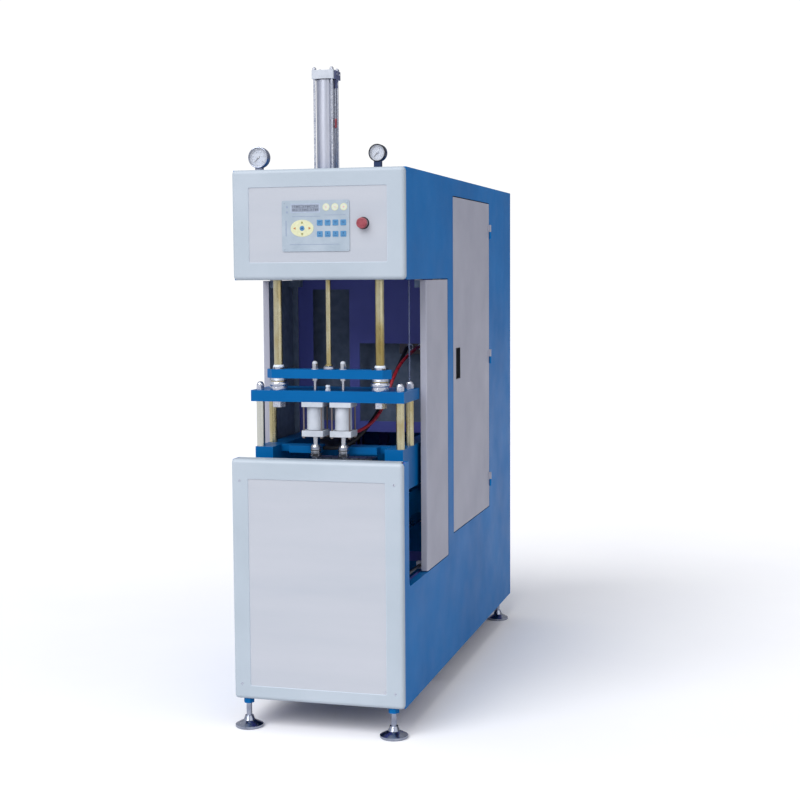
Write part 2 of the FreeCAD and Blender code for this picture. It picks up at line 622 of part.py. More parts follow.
def door_pull(side):
    """Recessed cup with a lip for the fingers along its front edge."""
    (y0, y1), (z0, z1) = pull_frame()
    y0, y1, z0, z1 = y0 + CLEAR, y1 - CLEAR, z0 + CLEAR, z1 - CLEAR
    cup = box((HALF - PULL_DEPTH, HALF), (y0, y1), (z0, z1))
    cup = cup.cut(box((HALF - PULL_DEPTH + PULL_WALL, HALF), (y0 + PULL_WALL, y1 - PULL_WALL),
                      (z0 + PULL_WALL, z1 - PULL_WALL)))
    lip = box((HALF - PULL_WALL, HALF), (y0, y0 + PULL_WALL + PULL_LIP), (z0, z1))
    return for_side(cup.fuse(lip).removeSplitter(), side)


# ---------------------------------------------------------------- press
def vertical_hole(x, y, radius, z):
    return cyl(radius, (x, y, z[0] - PLAY), (x, y, z[1] + PLAY))


def drilled(shape, places, radius, z):
    for x, y in places:
        shape = shape.cut(vertical_hole(x, y, radius, z))
    return shape


def press_beam():
    """Plate across the foot of the head's frame that carries the guide rods' upper ends."""
    beam = box((-TUBE_X, TUBE_X), (AXIS_Y - BEAM_FRONT, AXIS_Y + PLATE_Y[1]), BEAM_Z)
    beam = drilled(beam, [(0, AXIS_Y)], ROD_R + PLAY, BEAM_Z)
    return drilled(beam, GUIDES, GUIDE_R + CLEAR, BEAM_Z)


def guide_rods():
    """Turned rods with a collar that seats on the sealing plate."""
    low = PLATE_Z[0] - GUIDE_NUT[1] - PLAY
    high = BEAM_Z[1] + GUIDE_NUT[1] + PLAY
    rods = []
    for at in GUIDES:
        rod = cyl(GUIDE_R, (*at, low), (*at, high))
        collar = cyl(GUIDE_R + COLLAR_OUT, (*at, PLATE_Z[1]), (*at, BUSH_BOTTOM - PLAY))
        rods.append(rod.fuse(collar).removeSplitter())
    return rods


def plate_nuts():
    """Acorn nuts on the pillars, and plain nuts on both ends of the guide rods."""
    across, height = ACORN
    hex_top = PLATE_Z[1] + height / 2
    nuts = []
    for at in PILLARS:
        nut = hexagon(across, (*at, PLATE_Z[1]), (*at, hex_top))
        nut = nut.fuse(Part.makeSphere(across / 2, V(*at, hex_top), Z_AXIS, 0, 90, 360)).removeSplitter()
        nuts.append(nut.cut(cyl(PILLAR_STUD_R + CLEAR, (*at, PLATE_Z[1]), (*at, hex_top))))
    wall, height = GUIDE_NUT
    for at in GUIDES:
        for z in (PLATE_Z[0] - height, BEAM_Z[1]):
            nut = hexagon(2 * (GUIDE_R + wall), (*at, z), (*at, z + height))
            nuts.append(drilled(nut, [at], GUIDE_R + CLEAR, (z, z + height)))
    return nuts


def pillars():
    """Shouldered pillars from the bed rails to the sealing plate, with a stud at each end."""
    stud_top = PLATE_Z[1] + ACORN[1] / 2 - PLAY
    made = []
    for at in PILLARS:
        body = cyl(PILLAR_R, (*at, RAIL_Z[1]), (*at, PLATE_Z[0]))
        stud = cyl(PILLAR_STUD_R, (*at, RAIL_Z[1] - TUBE), (*at, stud_top))
        made.append(body.fuse(stud).removeSplitter())
    return made


def sealing_plate():
    """Heavy plate that carries both sealing cylinders."""
    plate = box((-PLATE_HALF, PLATE_HALF), (AXIS_Y + PLATE_Y[0], AXIS_Y + PLATE_Y[1]), PLATE_Z)
    plate = drilled(plate, GUIDES, GUIDE_R + CLEAR, PLATE_Z)
    plate = drilled(plate, PILLARS, PILLAR_STUD_R + CLEAR, PLATE_Z)
    return drilled(plate, CAVITIES, STRETCH_R + PLAY, PLATE_Z)


def crosshead():
    """Bar with chamfered ends that carries both stretch rods."""
    half = GUIDE_X + CROSS_END
    bar = box((-half, half), (AXIS_Y - CROSS_DEPTH / 2, AXIS_Y + CROSS_DEPTH / 2), CROSS_Z)
    ends = [edge for edge in bar.Edges if along_z(edge.Vertexes[0].Point, edge.Vertexes[1].Point)]
    bar = bar.makeChamfer(CROSS_CHAMFER, ends)
    bar = drilled(bar, [(0, AXIS_Y)], ROD_R + CLEAR, CROSS_Z)
    bar = drilled(bar, GUIDES, GUIDE_R + BUSH_WALL + CLEAR, CROSS_Z)
    return drilled(bar, CAVITIES, STRETCH_R + CLEAR, CROSS_Z)


def guide_bushes():
    """Flanged bushes in the crosshead; the flange is underneath, the neck stands out on top."""
    top = CROSS_Z[1] + BUSH_NECK
    bushes = []
    for at in GUIDES:
        neck = cyl(GUIDE_R + BUSH_WALL, (*at, CROSS_Z[0]), (*at, top))
        flange = cyl(GUIDE_R + BUSH_FLANGE[0], (*at, BUSH_BOTTOM), (*at, CROSS_Z[0]))
        bush = neck.fuse(flange).removeSplitter()
        bushes.append(drilled(bush, [at], GUIDE_R + RUN, (BUSH_BOTTOM, top)))
    return bushes


def stretch_rods():
    """Thin rods with a round tip; the nuts that hold each one in the crosshead are locked to it."""
    across, height = STRETCH_NUT
    made = []
    for at in CAVITIES:
        rod = cyl(STRETCH_R, (*at, STRETCH_TIP), (*at, CROSS_Z[1] + height))
        tip = Part.makeSphere(STRETCH_R, V(*at, STRETCH_TIP), Z_AXIS, -90, 0, 360)
        nut = hexagon(across, (*at, CROSS_Z[1]), (*at, CROSS_Z[1] + height * 2 / 3))
        lock = cyl(across / 2, (*at, BUSH_BOTTOM), (*at, CROSS_Z[0]))
        made.append(rod.fuse([tip, nut, lock]).removeSplitter())
    return made


def piston_rod():
    """Rod, its collar on the crosshead and its piston, as one turned piece."""
    wider, height = ROD_COLLAR
    piston_z = CYL_TUBE_Z[0] + CUSHION
    at = (0, AXIS_Y)
    rod = cyl(ROD_R, (*at, CROSS_Z[0]), (*at, piston_z))
    collar = cyl(ROD_R + wider, (*at, CROSS_Z[1]), (*at, CROSS_Z[1] + height))
    piston = cyl(CYL_TUBE_R[0] - RUN, (*at, piston_z), (*at, piston_z + PISTON_T))
    return rod.fuse([collar, piston]).removeSplitter()


# ---------------------------------------------------------------- stretch cylinder
def square_cap(at, z, size, bore_r, tie_offset, tie_r):
    """Square end cap with four tie rod holes and, unless bore_r is 0, a central bore."""
    x, y = at
    cap = box((x - size / 2, x + size / 2), (y - size / 2, y + size / 2), z)
    cap = rounded(cap, CYL_EDGE, along_z)
    if bore_r:
        cap = drilled(cap, [at], bore_r, z)
    return drilled(cap, tie_places(x, y, tie_offset), tie_r + CLEAR, z)


def tie_places(x, y, offset):
    return [(x + sx * offset, y + sy * offset) for sx in SIDES for sy in SIDES]


def stretch_cylinder_caps():
    at = (0, AXIS_Y)
    sizes = (CYL_TIE_OFFSET, CYL_TIE_R)
    return [square_cap(at, (CYL_SEAT, CYL_TUBE_Z[0]), CYL_CAP, ROD_R + RUN, *sizes),
            square_cap(at, (CYL_TUBE_Z[1], CYL_TOP), CYL_CAP, 0, *sizes)]


def stretch_cylinder_barrel():
    inner, outer = CYL_TUBE_R
    return ring(outer, inner, (0, AXIS_Y, CYL_TUBE_Z[0]), (0, AXIS_Y, CYL_TUBE_Z[1]))


def tie_rod(at, low, high, radius, nut):
    """Rod with a nut locked on its upper end."""
    across, height = nut
    rod = cyl(radius, (*at, low), (*at, high + height))
    return rod.fuse(hexagon(across, (*at, high), (*at, high + height * 2 / 3))).removeSplitter()


def stretch_cylinder_tie_rods():
    places = tie_places(0, AXIS_Y, CYL_TIE_OFFSET)
    return [tie_rod(at, CYL_SEAT, CYL_TOP, CYL_TIE_R, CYL_NUT) for at in places]


# ---------------------------------------------------------------- sealing cylinders and nozzles
def seal_caps():
    caps = []
    sizes = (SEAL_TIE_OFFSET, SEAL_TIE_R)
    for at in CAVITIES:
        caps.append(square_cap(at, (SEAL_TUBE_TOP, PLATE_Z[0]), SEAL_CAP, STRETCH_R + PLAY, *sizes))
        caps.append(square_cap(at, (SEAL_BOTTOM, SEAL_TUBE_BOTTOM), SEAL_CAP, ROD_R + RUN, *sizes))
    return caps


def seal_barrels():
    inner, outer = SEAL_TUBE_R
    return [ring(outer, inner, (*at, SEAL_TUBE_BOTTOM), (*at, SEAL_TUBE_TOP)) for at in CAVITIES]


def seal_tie_rods():
    """Tie rods screwed into the top cap, with a nut under the bottom cap."""
    across, height = SEAL_NUT
    rods = []
    for x, y in CAVITIES:
        for at in tie_places(x, y, SEAL_TIE_OFFSET):
            rod = cyl(SEAL_TIE_R, (*at, SEAL_BOTTOM - height), (*at, PLATE_Z[0] - PLAY))
            nut = hexagon(across, (*at, SEAL_BOTTOM - height), (*at, SEAL_BOTTOM))
            rods.append(rod.fuse(nut).removeSplitter())
    return rods


def nozzle(side):
    """Hollow rod with its piston above and the blow nozzle's head below, bored for the stretch rod."""
    bore_r = STRETCH_R + NOZZLE_PLAY
    piston_r = SEAL_TUBE_R[0] - RUN
    piston_z = SEAL_TUBE_BOTTOM + PLAY
    piston_top = piston_z + NOZZLE_PISTON_T
    low, high = NOZZLE_TOP - NOZZLE_L, NOZZLE_TOP
    chamfer = NOZZLE_R / 4
    profile = [(bore_r, low), (NOZZLE_R - chamfer, low), (NOZZLE_R, low + chamfer)]
    profile += [(NOZZLE_R, high - 2 * chamfer), (NOZZLE_R - chamfer, high), (ROD_R, high)]
    profile += [(ROD_R, piston_z), (piston_r, piston_z), (piston_r, piston_top), (bore_r, piston_top)]
    return revolve(profile, (side * PITCH / 2, AXIS_Y))


# ---------------------------------------------------------------- mould bed and clamp
def bed_rails():
    """Rails beside the mould space; a low nose at the front reaches the fixed platen."""
    nose = PLATEN_Y + PLATEN_T
    full = AXIS_Y - RAIL_FRONT
    low, high = RAIL_Z
    outline = [(nose, low), (MID_POST, low), (MID_POST, high)]
    outline += [(full, high), (full, PLATEN_TOP), (nose, PLATEN_TOP)]
    points = [V(RAIL_X[0], y, z) for y, z in outline]
    rail = Part.Face(Part.makePolygon(points + points[:1])).extrude(X_AXIS * RAIL_W)
    studs = [(PILLAR_X, AXIS_Y + y) for y in PILLAR_Y]
    return both(drilled(rail, studs, PILLAR_STUD_R + CLEAR, (high - TUBE, high)))


def neck_plates():
    """Stepped plates between the bed rails, one each side of the gap that the hoses come through."""
    front, step, back = (AXIS_Y + y for y in NECK_Y)
    plate = box((NECK_X, RAIL_X[0] - NECK_STEP), (front, step), NECK_Z)
    return both(plate.fuse(box((NECK_X, RAIL_X[0]), (step, back), NECK_Z)).removeSplitter())


def tie_bar_places():
    return [(side * TIE_X, z) for side in SIDES for z in TIE_Z]


def along_bar(x, z, radius, y):
    return cyl(radius, (x, y[0], z), (x, y[1], z))


def platen(shape, y, tie_clearance):
    """`shape` with the holes for the four tie bars."""
    for x, z in tie_bar_places():
        shape = shape.cut(along_bar(x, z, TIE_R + tie_clearance, y))
    return shape


def front_platen():
    y = (PLATEN_Y, PLATEN_Y + PLATEN_T)
    return platen(box((-FIXED_HALF, FIXED_HALF), y, (BED_RAIL + TUBE, PLATEN_TOP)), y, CLEAR)


def moving_platen():
    """Plate that slides on the tie bars; its shoulders pass under the bed rails."""
    y = (MOVING_Y, MOVING_Y + PLATEN_T)
    middle = MOULD_HALF + MOVING_LAP
    low = box((-MOVING_HALF, MOVING_HALF), y, (SHOULDER - MOVING_H, SHOULDER))
    whole = low.fuse(box((-middle, middle), y, (SHOULDER, PLATEN_TOP))).removeSplitter()
    return platen(whole, y, RUN)


def clamp_bulkhead():
    y = (CLAMP_Y - BULKHEAD_T, CLAMP_Y)
    plate = platen(box((-FIXED_HALF, FIXED_HALF), y, (BED_RAIL + TUBE, PLATEN_TOP)), y, CLEAR)
    return plate.cut(along_bar(0, CLAMP_Z, CLAMP_ROD_R + RUN, y))


def tie_bars():
    """Bars between the fixed platens, each with a nut at its rear end and a head at its front."""
    across, height = TIE_NUT
    bars = []
    for x, z in tie_bar_places():
        bar = along_bar(x, z, TIE_R, (PLATEN_Y - height, CLAMP_Y + height))
        head = hexagon(across, (x, PLATEN_Y - height, z), (x, PLATEN_Y, z))
        nut = hexagon(across, (x, CLAMP_Y, z), (x, CLAMP_Y + height, z))
        bars.append(bar.fuse([head, nut]).removeSplitter())
    return bars


def bottle_form(x, y):
    """Solid of one blown bottle with its neck, standing on the floor of the cavity."""
    shoulder = CAVITY_FLOOR + BOTTLE_BODY
    profile = [(0, CAVITY_FLOOR), (BOTTLE_R, CAVITY_FLOOR), (BOTTLE_R, shoulder)]
    profile += [(NECK_R, shoulder + BOTTLE_SHOULDER), (NECK_R, MOULD_Z[1] + PLAY)]
    profile += [(0, MOULD_Z[1] + PLAY)]
    return revolve(profile, (x, y))


def mould_half(y, face):
    """Block with two half cavities whose joint face is at `face`."""
    block = box((-MOULD_HALF, MOULD_HALF), y, MOULD_Z)
    for x, _ in CAVITIES:
        block = block.cut(bottle_form(x, face))
    return block


def mould_front():
    return mould_half((PLATEN_Y + PLATEN_T, AXIS_Y), AXIS_Y)


def mould_rear():
    return mould_half((MOVING_Y - MOULD_T, MOVING_Y), MOVING_Y - MOULD_T)


def clamp_cylinder():
    """Welded cylinder behind the bulkhead, closed at the rear."""
    inner, outer = CLAMP_R
    rear = CLAMP_Y + CLAMP_L
    body = along_bar(0, CLAMP_Z, outer, (CLAMP_Y, rear))
    body = body.cut(along_bar(0, CLAMP_Z, inner, (CLAMP_Y + CLAMP_CAP, rear - CLAMP_CAP)))
    return body.cut(along_bar(0, CLAMP_Z, CLAMP_ROD_R + RUN, (CLAMP_Y - PLAY, CLAMP_Y + CLAMP_CAP)))


def clamp_rod():
    """Rod from the moving platen to the piston, at the rear of its travel with the mould open."""
    piston_rear = CLAMP_Y + CLAMP_L - CLAMP_CAP - CUSHION
    piston_front = piston_rear - CLAMP_PISTON_T
    rod = along_bar(0, CLAMP_Z, CLAMP_ROD_R, (MOVING_Y + PLATEN_T, piston_front))
    piston = along_bar(0, CLAMP_Z, CLAMP_R[0] - RUN, (piston_front, piston_rear))
    return rod.fuse(piston).removeSplitter()


# ---------------------------------------------------------------- feet
def foot_places():
    rows = (HEAD_Y - FOOT_FRONT, REAR - FOOT_REAR)
    return [(side * (HALF - FOOT_IN), y) for y in rows for side in SIDES]


def levelling_feet():
    """Turned feet: a flared pad with a rolled rim, and the screwed stem that goes into the frame."""
    neck_top, stem_top = FOOT_SHAPE[-1][1], FLOOR_GAP - PLAY
    profile = [(0, 0), (FOOT_R - FOOT_EDGE, 0), (FOOT_R, FOOT_EDGE), *FOOT_SHAPE]
    profile += [(STEM_R, neck_top), (STEM_R, stem_top), (0, stem_top)]
    return [revolve(profile, at) for at in foot_places()]


def foot_locknuts():
    """Hexagon nuts that lock each stem against the frame."""
    across, height = FOOT_NUT
    nuts = []
    for at in foot_places():
        low = FLOOR_GAP - height
        nut = hexagon(across, (*at, low), (*at, FLOOR_GAP))
        nuts.append(drilled(nut, [at], STEM_R + CLEAR, (low, FLOOR_GAP - 2 * PLAY)))
    return nuts


# ---------------------------------------------------------------- gauges
def gauge_place(side_name):
    """X, Z and radius of a gauge."""
    from_side, height, radius = GAUGES[side_name]
    x = HALF - from_side
    return (x if side_name == "right" else -x), HEAD_TOP + height, radius


def gauge(side_name):
    """Gauge case, open at the front, on a stem block that stands on the roof."""
    x, z, radius = gauge_place(side_name)
    front = HEAD_Y + GAUGE_Y
    dial = front + GAUGE_DISH
    case = cyl(radius, (x, front, z), (x, front + GAUGE_DEPTH, z))
    case = case.cut(cyl(radius - GAUGE_WALL, (x, front, z), (x, dial, z)))
    half = GAUGE_BLOCK / 2
    middle = front + GAUGE_DEPTH / 2
    block = box((x - half, x + half), (middle - half, middle + half), (HEAD_TOP, z - radius / 2))
    block = block.cut(cyl(radius - GAUGE_WALL, (x, front, z), (x, dial, z)))
    spindle = cyl(SPINDLE_R, (x, dial - 4 * POINTER_T, z), (x, dial, z))
    return case.fuse([block, spindle]).removeSplitter()


def pointer(side_name):
    """Pointer at zero, turning on the gauge's spindle."""
    x, z, radius = gauge_place(side_name)
    y = HEAD_Y + GAUGE_Y + GAUGE_DISH - 3 * POINTER_T
    tip = (radius - GAUGE_WALL) * POINTER_REACH
    tail = tip / 3
    angle = math.radians(POINTER_ZERO)
    along, across = V(math.cos(angle), 0, math.sin(angle)), V(-math.sin(angle), 0, math.cos(angle))
    middle = V(x, y, z)
    wide = 2 * POINTER_T
    corners = [middle + along * tip, middle + across * wide, middle - along * tail, middle - across * wide]
    hand = Part.Face(Part.makePolygon(corners + corners[:1])).extrude(Y_AXIS * POINTER_T)
    hub = cyl(POINTER_HUB_R, (x, y, z), (x, y + POINTER_T, z))
    hole = cyl(SPINDLE_R + RUN, (x, y - PLAY, z), (x, y + POINTER_T + PLAY, z))
    return hand.fuse(hub).removeSplitter().cut(hole)


# ---------------------------------------------------------------- air lines
def air_manifold():
    """Valve block on the back of the wall; its lower part shows in the low opening."""
    x0, x1, depth, height = MANIFOLD
    low = WALL_RIGHT_TOP - MANIFOLD_SHOWS
    return box((x0, x1), (MID_POST, MID_POST + depth), (low, low + height))


def hose(name, points):
    """A hose along straight runs joined by tangent arcs; prints each arc's radius and the volume."""
    radius = HOSE_R[name]
    points = [V(x, HEAD_Y + y, z) for x, y, z in points]
    edges = []
    start = points[0]
    for before, corner, after in zip(points, points[1:], points[2:]):
        way_in = (corner - before).normalize()
        way_out = (after - corner).normalize()
        turn = math.acos(max(-1.0, min(1.0, way_in.dot(way_out))))
        run = min((corner - before).Length, (after - corner).Length)
        bend = 0.45 * run / math.tan(turn / 2)
        setback = bend * math.tan(turn / 2)
        arc_in = corner - way_in * setback
        arc_out = corner + way_out * setback
        to_middle = (way_out - way_in).normalize()
        middle = corner + to_middle * (bend / math.cos(turn / 2) - bend)
        edges.append(Part.LineSegment(start, arc_in).toShape())
        edges.append(Part.Arc(arc_in, middle, arc_out).toShape())
        start = arc_out
        print("%s bend radius %.0f, %.1f diameters" % (name, bend, bend / (2 * radius)))
    edges.append(Part.LineSegment(start, points[-1]).toShape())
    path = Part.Wire(edges)
    circle = Part.Wire(Part.makeCircle(radius, points[0], (points[1] - points[0]).normalize()))
    tube = path.makePipeShell([circle], True, False)
    share = tube.Volume / (math.pi * radius ** 2 * path.Length)
    print("%s length %.0f, volume over section times length %.4f" % (name, path.Length, share))
    return tube


def air_hose_red():
    """From the manifold, forward and down behind the sealing plate, to the right sealing cylinder."""
    end_x = PITCH / 2 + RED_END
    end_y = PRESS_Y + SEAL_CAP / 2
    end_z = SEAL_BOTTOM + SEAL_CAP_T[1] / 2
    return hose("air_hose_red", [
        (PORT_X[0], MID_POST - HEAD_Y, PORT_Z), (PORT_X[0], 582, PORT_Z), (200, 520, 1322),
        (189, 458, 1302), (177, 398, 1268), (167, 352, 1220), (156, 324, 1168), (141, 300, 1120),
        (121, 270, 1084), (99, 236, 1062), (end_x, 202, end_z), (end_x, end_y, end_z)])


def air_hose_black():
    """From the manifold, below the red one, to the left neck plate."""
    end_y = PRESS_Y + (NECK_Y[1] + NECK_Y[2]) / 2
    end_z = RAIL_Z[1] - NECK_T / 2
    return hose("air_hose_black", [
        (PORT_X[1], MID_POST - HEAD_Y, PORT_Z), (PORT_X[1], 582, PORT_Z), (168, 520, 1312),
        (166, 458, 1276), (158, 402, 1230), (146, 354, 1178), (129, 322, 1126), (106, 294, 1080),
        (80, 264, 1038), (46, 230, 1004), (4, end_y, end_z), (-NECK_X, end_y, end_z)])


def air_tube_clear():
    """Thin tube from the head straight down to the rear right pillar's nut."""
    at = (PILLAR_X, AXIS_Y + PILLAR_Y[1])
    low = PLATE_Z[1] + (ACORN[0] + ACORN[1]) / 2
    return cyl(HOSE_R["air_tube_clear"], (*at, low), (*at, BEAM_Z[0]))


# ---------------------------------------------------------------- write every node
save("frame_posts", frame_posts())
save("frame_rails", frame_rails())
save("frame_crossbars", frame_crossbars())
save("side_panel_left", side_panel(-1))
save("side_panel_right", side_panel(1))
save("roof_panel", roof_panel())
save("rear_panel", rear_panel())
save("chamber_back_wall", chamber_back_wall())
save("head_cap", head_cap())
save("head_front_panel", head_front_panel())
save("base_cap", base_cap())
save("base_front_panel", inset_sheet(FRONT, BASE_WINDOW_Z))
save("control_keypad", control_keypad())
save("stop_button_socket", stop_button_socket())
save("stop_button", stop_button())
save("guard_door_left", guard_door(-1))
save("guard_door_right", guard_door(1))
save("guard_rails", guard_rails())
save("tall_door_left", tall_door(-1))
save("tall_door_right", tall_door(1))
save("door_pull_left", door_pull(-1))
save("door_pull_right", door_pull(1))
save("hinge_pins", hinge_pins())
save("press_beam", press_beam())
save("guide_rods", guide_rods())
save("plate_nuts", plate_nuts())
save("pillars", pillars())
save("sealing_plate", sealing_plate())
save("crosshead", crosshead())
save("guide_bushes", guide_bushes())
save("stretch_rods", stretch_rods())
save("piston_rod", piston_rod())
save("stretch_cylinder_caps", stretch_cylinder_caps())
save("stretch_cylinder_barrel", stretch_cylinder_barrel())
save("stretch_cylinder_tie_rods", stretch_cylinder_tie_rods())
save("seal_caps", seal_caps())
save("seal_barrels", seal_barrels())
save("seal_tie_rods", seal_tie_rods())
save("nozzle_left", nozzle(-1))
save("nozzle_right", nozzle(1))
save("bed_rails", bed_rails())
save("neck_plates", neck_plates())
save("front_platen", front_platen())
save("moving_platen", moving_platen())
save("clamp_bulkhead", clamp_bulkhead())
save("tie_bars", tie_bars())
save("mould_front", mould_front())
save("mould_rear", mould_rear())
save("clamp_cylinder", clamp_cylinder())
save("clamp_rod", clamp_rod())
save("levelling_feet", levelling_feet())
save("foot_locknuts", foot_locknuts())
save("gauge_left", gauge("left"))
save("gauge_right", gauge("right"))
save("pointer_left", pointer("left"))
save("pointer_right", pointer("right"))
save("air_manifold", air_manifold())
save("air_hose_red", air_hose_red())
save("air_hose_black", air_hose_black())
save("air_tube_clear", air_tube_clear())
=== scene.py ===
"""Finish and fine detail of a semi-automatic stretch blow moulding machine.

Metres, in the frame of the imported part: X across, Y from the operator's end to the rear, Z up.
"""

import json
import math

import bmesh
import bpy
from mathutils import Matrix, Vector


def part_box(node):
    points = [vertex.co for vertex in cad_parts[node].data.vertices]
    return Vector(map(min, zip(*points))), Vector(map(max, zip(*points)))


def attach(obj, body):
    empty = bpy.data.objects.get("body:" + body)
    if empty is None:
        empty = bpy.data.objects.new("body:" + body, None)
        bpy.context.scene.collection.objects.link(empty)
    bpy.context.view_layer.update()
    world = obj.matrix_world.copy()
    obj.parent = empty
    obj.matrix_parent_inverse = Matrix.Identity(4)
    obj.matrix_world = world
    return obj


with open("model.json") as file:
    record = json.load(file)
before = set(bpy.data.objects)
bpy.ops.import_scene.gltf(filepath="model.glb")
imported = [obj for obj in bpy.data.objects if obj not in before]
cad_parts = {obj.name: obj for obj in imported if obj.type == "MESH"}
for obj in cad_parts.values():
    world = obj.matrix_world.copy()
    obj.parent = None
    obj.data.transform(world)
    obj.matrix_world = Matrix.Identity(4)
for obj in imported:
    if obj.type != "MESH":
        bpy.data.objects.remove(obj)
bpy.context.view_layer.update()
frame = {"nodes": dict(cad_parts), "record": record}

MM = 0.001
UP = Vector((0, 0, 1))
DOWN = Vector((0, 0, -1))
TO_OPERATOR = Vector((0, -1, 0))
TO_REAR = Vector((0, 1, 0))
TO_RIGHT = Vector((1, 0, 0))
SIDES = (-1, 1)
NAMED_SIDES = ((-1, "left"), (1, "right"))


# --- materials
def linear(colour):
    """An sRGB hex colour as linear red, green, blue and alpha."""
    parts = [int(colour[i:i + 2], 16) / 255 for i in (1, 3, 5)]
    return tuple(c / 12.92 if c <= 0.04045 else ((c + 0.055) / 1.055) ** 2.4 for c in parts) + (1.0,)


def add(tree, kind, settings, links=()):
    """Adds a node, sets its properties and sockets, and links (socket, node, output) into it."""
    node = tree.nodes.new("ShaderNode" + kind)
    for name, value in settings.items():
        if isinstance(name, str) and hasattr(node, name):
            setattr(node, name, value)
        else:
            node.inputs[name].default_value = value
    for socket, source, output in links:
        tree.links.new(source.outputs[output], node.inputs[socket])
    return node


def start(name, sockets):
    """A new material with one principled shader, and the node that gives places in metres."""
    material = bpy.data.materials.new(name)
    material.use_nodes = True
    tree = material.node_tree
    tree.nodes.clear()
    shader = add(tree, "BsdfPrincipled", sockets)
    add(tree, "OutputMaterial", {}, [("Surface", shader, "BSDF")])
    place = add(tree, "TexCoord", {})
    return material, tree, shader, place


def noise_of(tree, place, patch, stretch, **settings):
    """Noise in patches of that many millimetres, its pattern scaled along each axis by `stretch`."""
    laid = add(tree, "Mapping", {"Scale": stretch}, [("Vector", place, "Object")])
    return add(tree, "TexNoise", {"Scale": 1 / (patch * MM), **settings}, [("Vector", laid, "Vector")])


def vary_colour(tree, shader, place, tones, patch, stretch=(1, 1, 1), detail=4.0):
    """Base colour wanders between the tones in patches of that many millimetres."""
    noise = noise_of(tree, place, patch, stretch, Detail=detail, Roughness=0.55)
    ramp = add(tree, "ValToRGB", {}, [("Fac", noise, "Fac")])
    low, high = 0.32, 0.68
    stops = ramp.color_ramp.elements
    for i, tone in enumerate(tones):
        at = low + (high - low) * i / (len(tones) - 1)
        stop = stops[i] if i < len(stops) else stops.new(at)
        stop.position = at
        stop.color = linear(tone)
    tree.links.new(ramp.outputs["Color"], shader.inputs["Base Color"])
    return ramp


def vary_roughness(tree, shader, place, low, high, patch, stretch=(1, 1, 1)):
    """Roughness wanders between two values in patches of that many millimetres."""
    noise = noise_of(tree, place, patch, stretch, Detail=3.0)
    span = add(tree, "MapRange", {"From Min": 0.3, "From Max": 0.7, "To Min": low, "To Max": high},
               [("Value", noise, "Fac")])
    tree.links.new(span.outputs["Result"], shader.inputs["Roughness"])


def roughen(tree, shader, place, grain, depth, strength=0.5, stretch=(1, 1, 1)):
    """Fine relief: grain and depth in millimetres."""
    noise = noise_of(tree, place, grain, stretch, Detail=2.0)
    bump = add(tree, "Bump", {"Strength": strength, "Distance": depth * MM}, [("Height", noise, "Fac")])
    tree.links.new(bump.outputs["Normal"], shader.inputs["Normal"])


def lay_over(tree, shader, ramp, tone, share):
    """Base colour goes from the ramp's tones to `tone` by that share."""
    mix = add(tree, "Mix", {"data_type": "RGBA", 7: linear(tone)}, [(0, share, "Result"), (6, ramp, "Color")])
    tree.links.new(mix.outputs[2], shader.inputs["Base Color"])


def wear_and_highlight_edges(tree, shader, ramp, tone, reach, amount):
    """Edges go over to the paler `tone`, over a reach in millimetres, where a bevelled normal
    leaves the true one: painted highlight along every edge, with slight wear."""
    round_normal = add(tree, "Bevel", {"samples": 4, "Radius": reach * MM})
    flat_normal = add(tree, "NewGeometry", {})
    close = add(tree, "VectorMath", {"operation": "DOT_PRODUCT"},
                [(0, round_normal, "Normal"), (1, flat_normal, "Normal")])
    # painted highlight along every edge, with slight wear: the base colour goes toward the paler tone
    edge = add(tree, "MapRange", {"From Min": 0.99, "From Max": 0.8, "To Min": 0.0, "To Max": amount},
               [("Value", close, "Value")])
    lay_over(tree, shader, ramp, tone, edge)


def surface(name, sockets, colour, roughness, relief, edge_wear_and_highlight=None):
    """A material with patterns of colour, roughness and relief, and, where it is paint, paler edges, a
    painted highlight with slight wear; each pattern is what its own function takes after `place`."""
    material, tree, shader, place = start(name, sockets)
    ramp = vary_colour(tree, shader, place, *colour)
    vary_roughness(tree, shader, place, *roughness)
    roughen(tree, shader, place, *relief)
    if edge_wear_and_highlight:
        wear_and_highlight_edges(tree, shader, ramp, *edge_wear_and_highlight)
    return material


def baked_enamel(name, tones, roughness, edge_wear_and_highlight, shine=0.2):
    """Stoved enamel on steel sheet: even and satin, with a faint orange peel of about 3 mm,
    drawn at 9 mm so that it shows, and paler along folded edges: painted highlight with slight wear."""
    return surface(name, {"IOR": 1.5, "Specular IOR Level": shine}, (tones, 420),
                   (roughness - 0.05, roughness + 0.05, 160), (9, 0.03, 0.35), (edge_wear_and_highlight, 1.6, 0.5))


def powder_coat(name, tones, grain, roughness, edge_wear_and_highlight):
    """Polyester powder coat: matt, with a fine leathery grain, and brighter along edges: painted highlight
    with slight wear.
    """
    return surface(name, {"IOR": 1.48}, (tones, 300), (roughness - 0.06, roughness + 0.06, 120),
                   (grain, 0.05, 0.4), (edge_wear_and_highlight, 1.8, 0.45))


def metal(name, tones, low, high, patch, stretch=(1, 1, 1)):
    """Bare or plated metal, with fine marks along the way that it was worked."""
    return surface(name, {"Metallic": 1.0}, (tones, patch, stretch), (low, high, patch / 2, stretch),
                   (2.5, 0.02, 0.25, stretch))


PASSIVATED_TONES = ("#a18f58", "#b9aa7a", "#cdc6a4", "#bcb186")      # gold, pale straw, reddish brown
# pale tone of the painted highlight on the front left pillar
PAINTED_GLARE_TONE = "#dcddd2"
TO_FRONT_LEFT = (-0.707, -0.707, 0)
PAINTED_GLARE_FROM = (0.69, 0.71)         # metres that way; only the front left pillar stands further out


